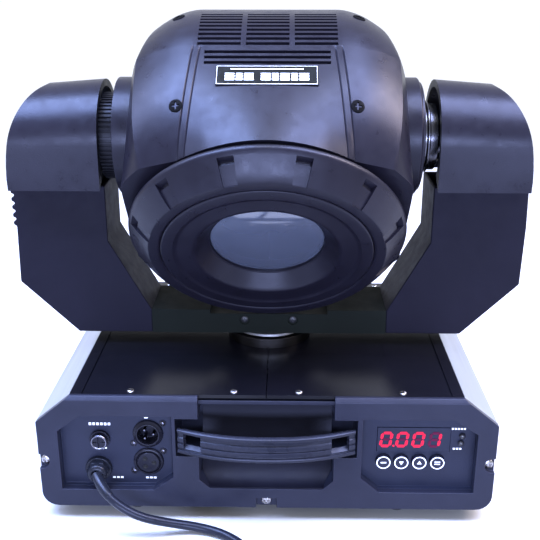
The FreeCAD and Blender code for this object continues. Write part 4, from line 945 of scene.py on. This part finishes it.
def along_cord(name, path, radii, finish_name, steps=28):
    """Round sleeve of changing radius along a path of points in metres."""
    points, faces = [], []
    for k, (place, radius) in enumerate(zip(path, radii)):
        ahead = (path[min(k + 1, len(path) - 1)] - path[max(k - 1, 0)]).normalized()
        across = ahead.cross(Vector((0, 0, 1))).normalized()
        over = across.cross(ahead)
        for step in range(steps):
            turn = 2 * math.pi * step / steps
            points.append((place + (across * math.cos(turn) + over * math.sin(turn)) * radius * MM) / MM)
    for k in range(len(path) - 1):
        faces += [(k * steps + s, k * steps + (s + 1) % steps, (k + 1) * steps + (s + 1) % steps,
                   (k + 1) * steps + s) for s in range(steps)]
    return piece(name, points, faces, "base", "gland_nylon", finish_name, sharp=50)


def strain_relief():
    """Tapered sleeve over the cord's first bend out of the gland."""
    a, b, c = (Vector(CORD_START[k]) for k in (0, 1, 2))
    c = (b + c) / 2
    path, radii = [], []
    for k in range(37):
        t = k / 36
        path.append(a * (1 - t) ** 2 + b * 2 * t * (1 - t) + c * t * t)
        radii.append(5.0 - 1.2 * t)
    along_cord("StrainRelief", path, [3.7] + radii[1:-1] + [3.65], "nylon")


def coil_tie():
    """Flat strap round the coil's turns, on the side away from the object's front."""
    low, high, near, far = 0.2, 20.4, 32.0, 48.0
    outline = [(near, low), (far, low), (far, high), (near, high)]
    inner = [(near + 1, low + 0.1), (far - 1, low + 0.1), (far - 1, high - 0.8), (near + 1, high - 0.8)]
    points = [(COIL_AT[0] / MM + u, COIL_AT[1] / MM + y, z) for y in (-3.5, 3.5) for u, z in outline + inner]
    faces = []
    for k in range(4):
        up = (k + 1) % 4
        faces += [(k, up, 8 + up, 8 + k), (4 + k, 12 + k, 12 + up, 4 + up),
                  (k, 4 + k, 4 + up, up), (8 + k, 8 + up, 12 + up, 12 + k)]
    return bevel(piece("CoilTie", points, faces, "base", "cord_jacket", "nylon", sharp=0), 0.6)


def mains_plug():
    """Moulded plug lying beside the coil, with a tapered ribbed relief and two round pins."""
    outline = [(-12.6, -4), (-12.6, -30), (-11, -37), (-8, -43.6), (8, -43.6),
               (11, -37), (12.6, -30), (12.6, -4), (9, 0), (-9, 0)]
    case = moved(prism_points([(x, y - 310) for x, y in outline], 0.4, 23.8), WORLD)
    parts = [case]
    for side in (-9.5, 9.5):
        ring = [(side + 2.4 * math.cos(a * math.pi / 8), 2.4 * math.sin(a * math.pi / 8)) for a in range(16)]
        pin = prism_points(ring, 0, 20)
        parts.append(moved(pin, Matrix.Translation((0, -353, 12))
                           @ Matrix.Rotation(math.radians(90), 4, "X")))
    ribs = [(5.0, -1)]
    for rib in range(4):
        ribs += [(5.0 - 0.25 * rib, 3.0 + 3.6 * rib), (4.2 - 0.1 * rib, 3.4 + 3.6 * rib),
                 (4.2 - 0.1 * rib, 4.4 + 3.6 * rib), (4.9 - 0.25 * rib, 4.8 + 3.6 * rib)]
    ribs += [(3.9, 16.0), (3.7, 16.6)]
    steps = 24
    sleeve = []
    for r, level in ribs:
        sleeve.append([(r * math.cos(2 * math.pi * s / steps), level - 310,
                        10 + r * math.sin(2 * math.pi * s / steps))
                       for s in range(steps)])
    points = [p for ring in sleeve for p in ring]
    faces = [(i * steps + s, i * steps + (s + 1) % steps,
              (i + 1) * steps + (s + 1) % steps, (i + 1) * steps + s)
             for i in range(len(sleeve) - 1) for s in range(steps)]
    parts.append((points, faces))
    plug = piece("MainsPlug", *joined(parts), "base", "cord_jacket", "jacket", replaced=("mains_plug",))
    return bevel(plug, 1.2, 3, 40)


# ---------------------------------------------------------------- build
for node, (finish_name, width) in KEPT.items():
    keep(node, finish_name, width)
build_head()
for side in (-1, 1):
    drum_cap(side)
right_trunnion()
handle(True, 14.6)
handle(False, 21.6)
scoop(True)
scoop(False)
all_screws()
connectors()
cable_gland()
display()
prints()
label()
cord()

floor_points, floor_faces = prism_points([(-1300, -1300), (1300, -1300), (1300, 1300), (-1300, 1300)], -5, 0)
floor_mesh = bpy.data.meshes.new("Floor")
floor_mesh.from_pydata([Vector(p) * MM for p in floor_points], [], floor_faces)
floor = bpy.data.objects.new("Floor", floor_mesh)
floor_mesh.materials.append(MATERIALS["floor"])
bpy.context.scene.collection.objects.link(floor)

camera()
surroundings()
bpy.context.scene.view_settings.view_transform = "Standard"

bpy.context.view_layer.update()
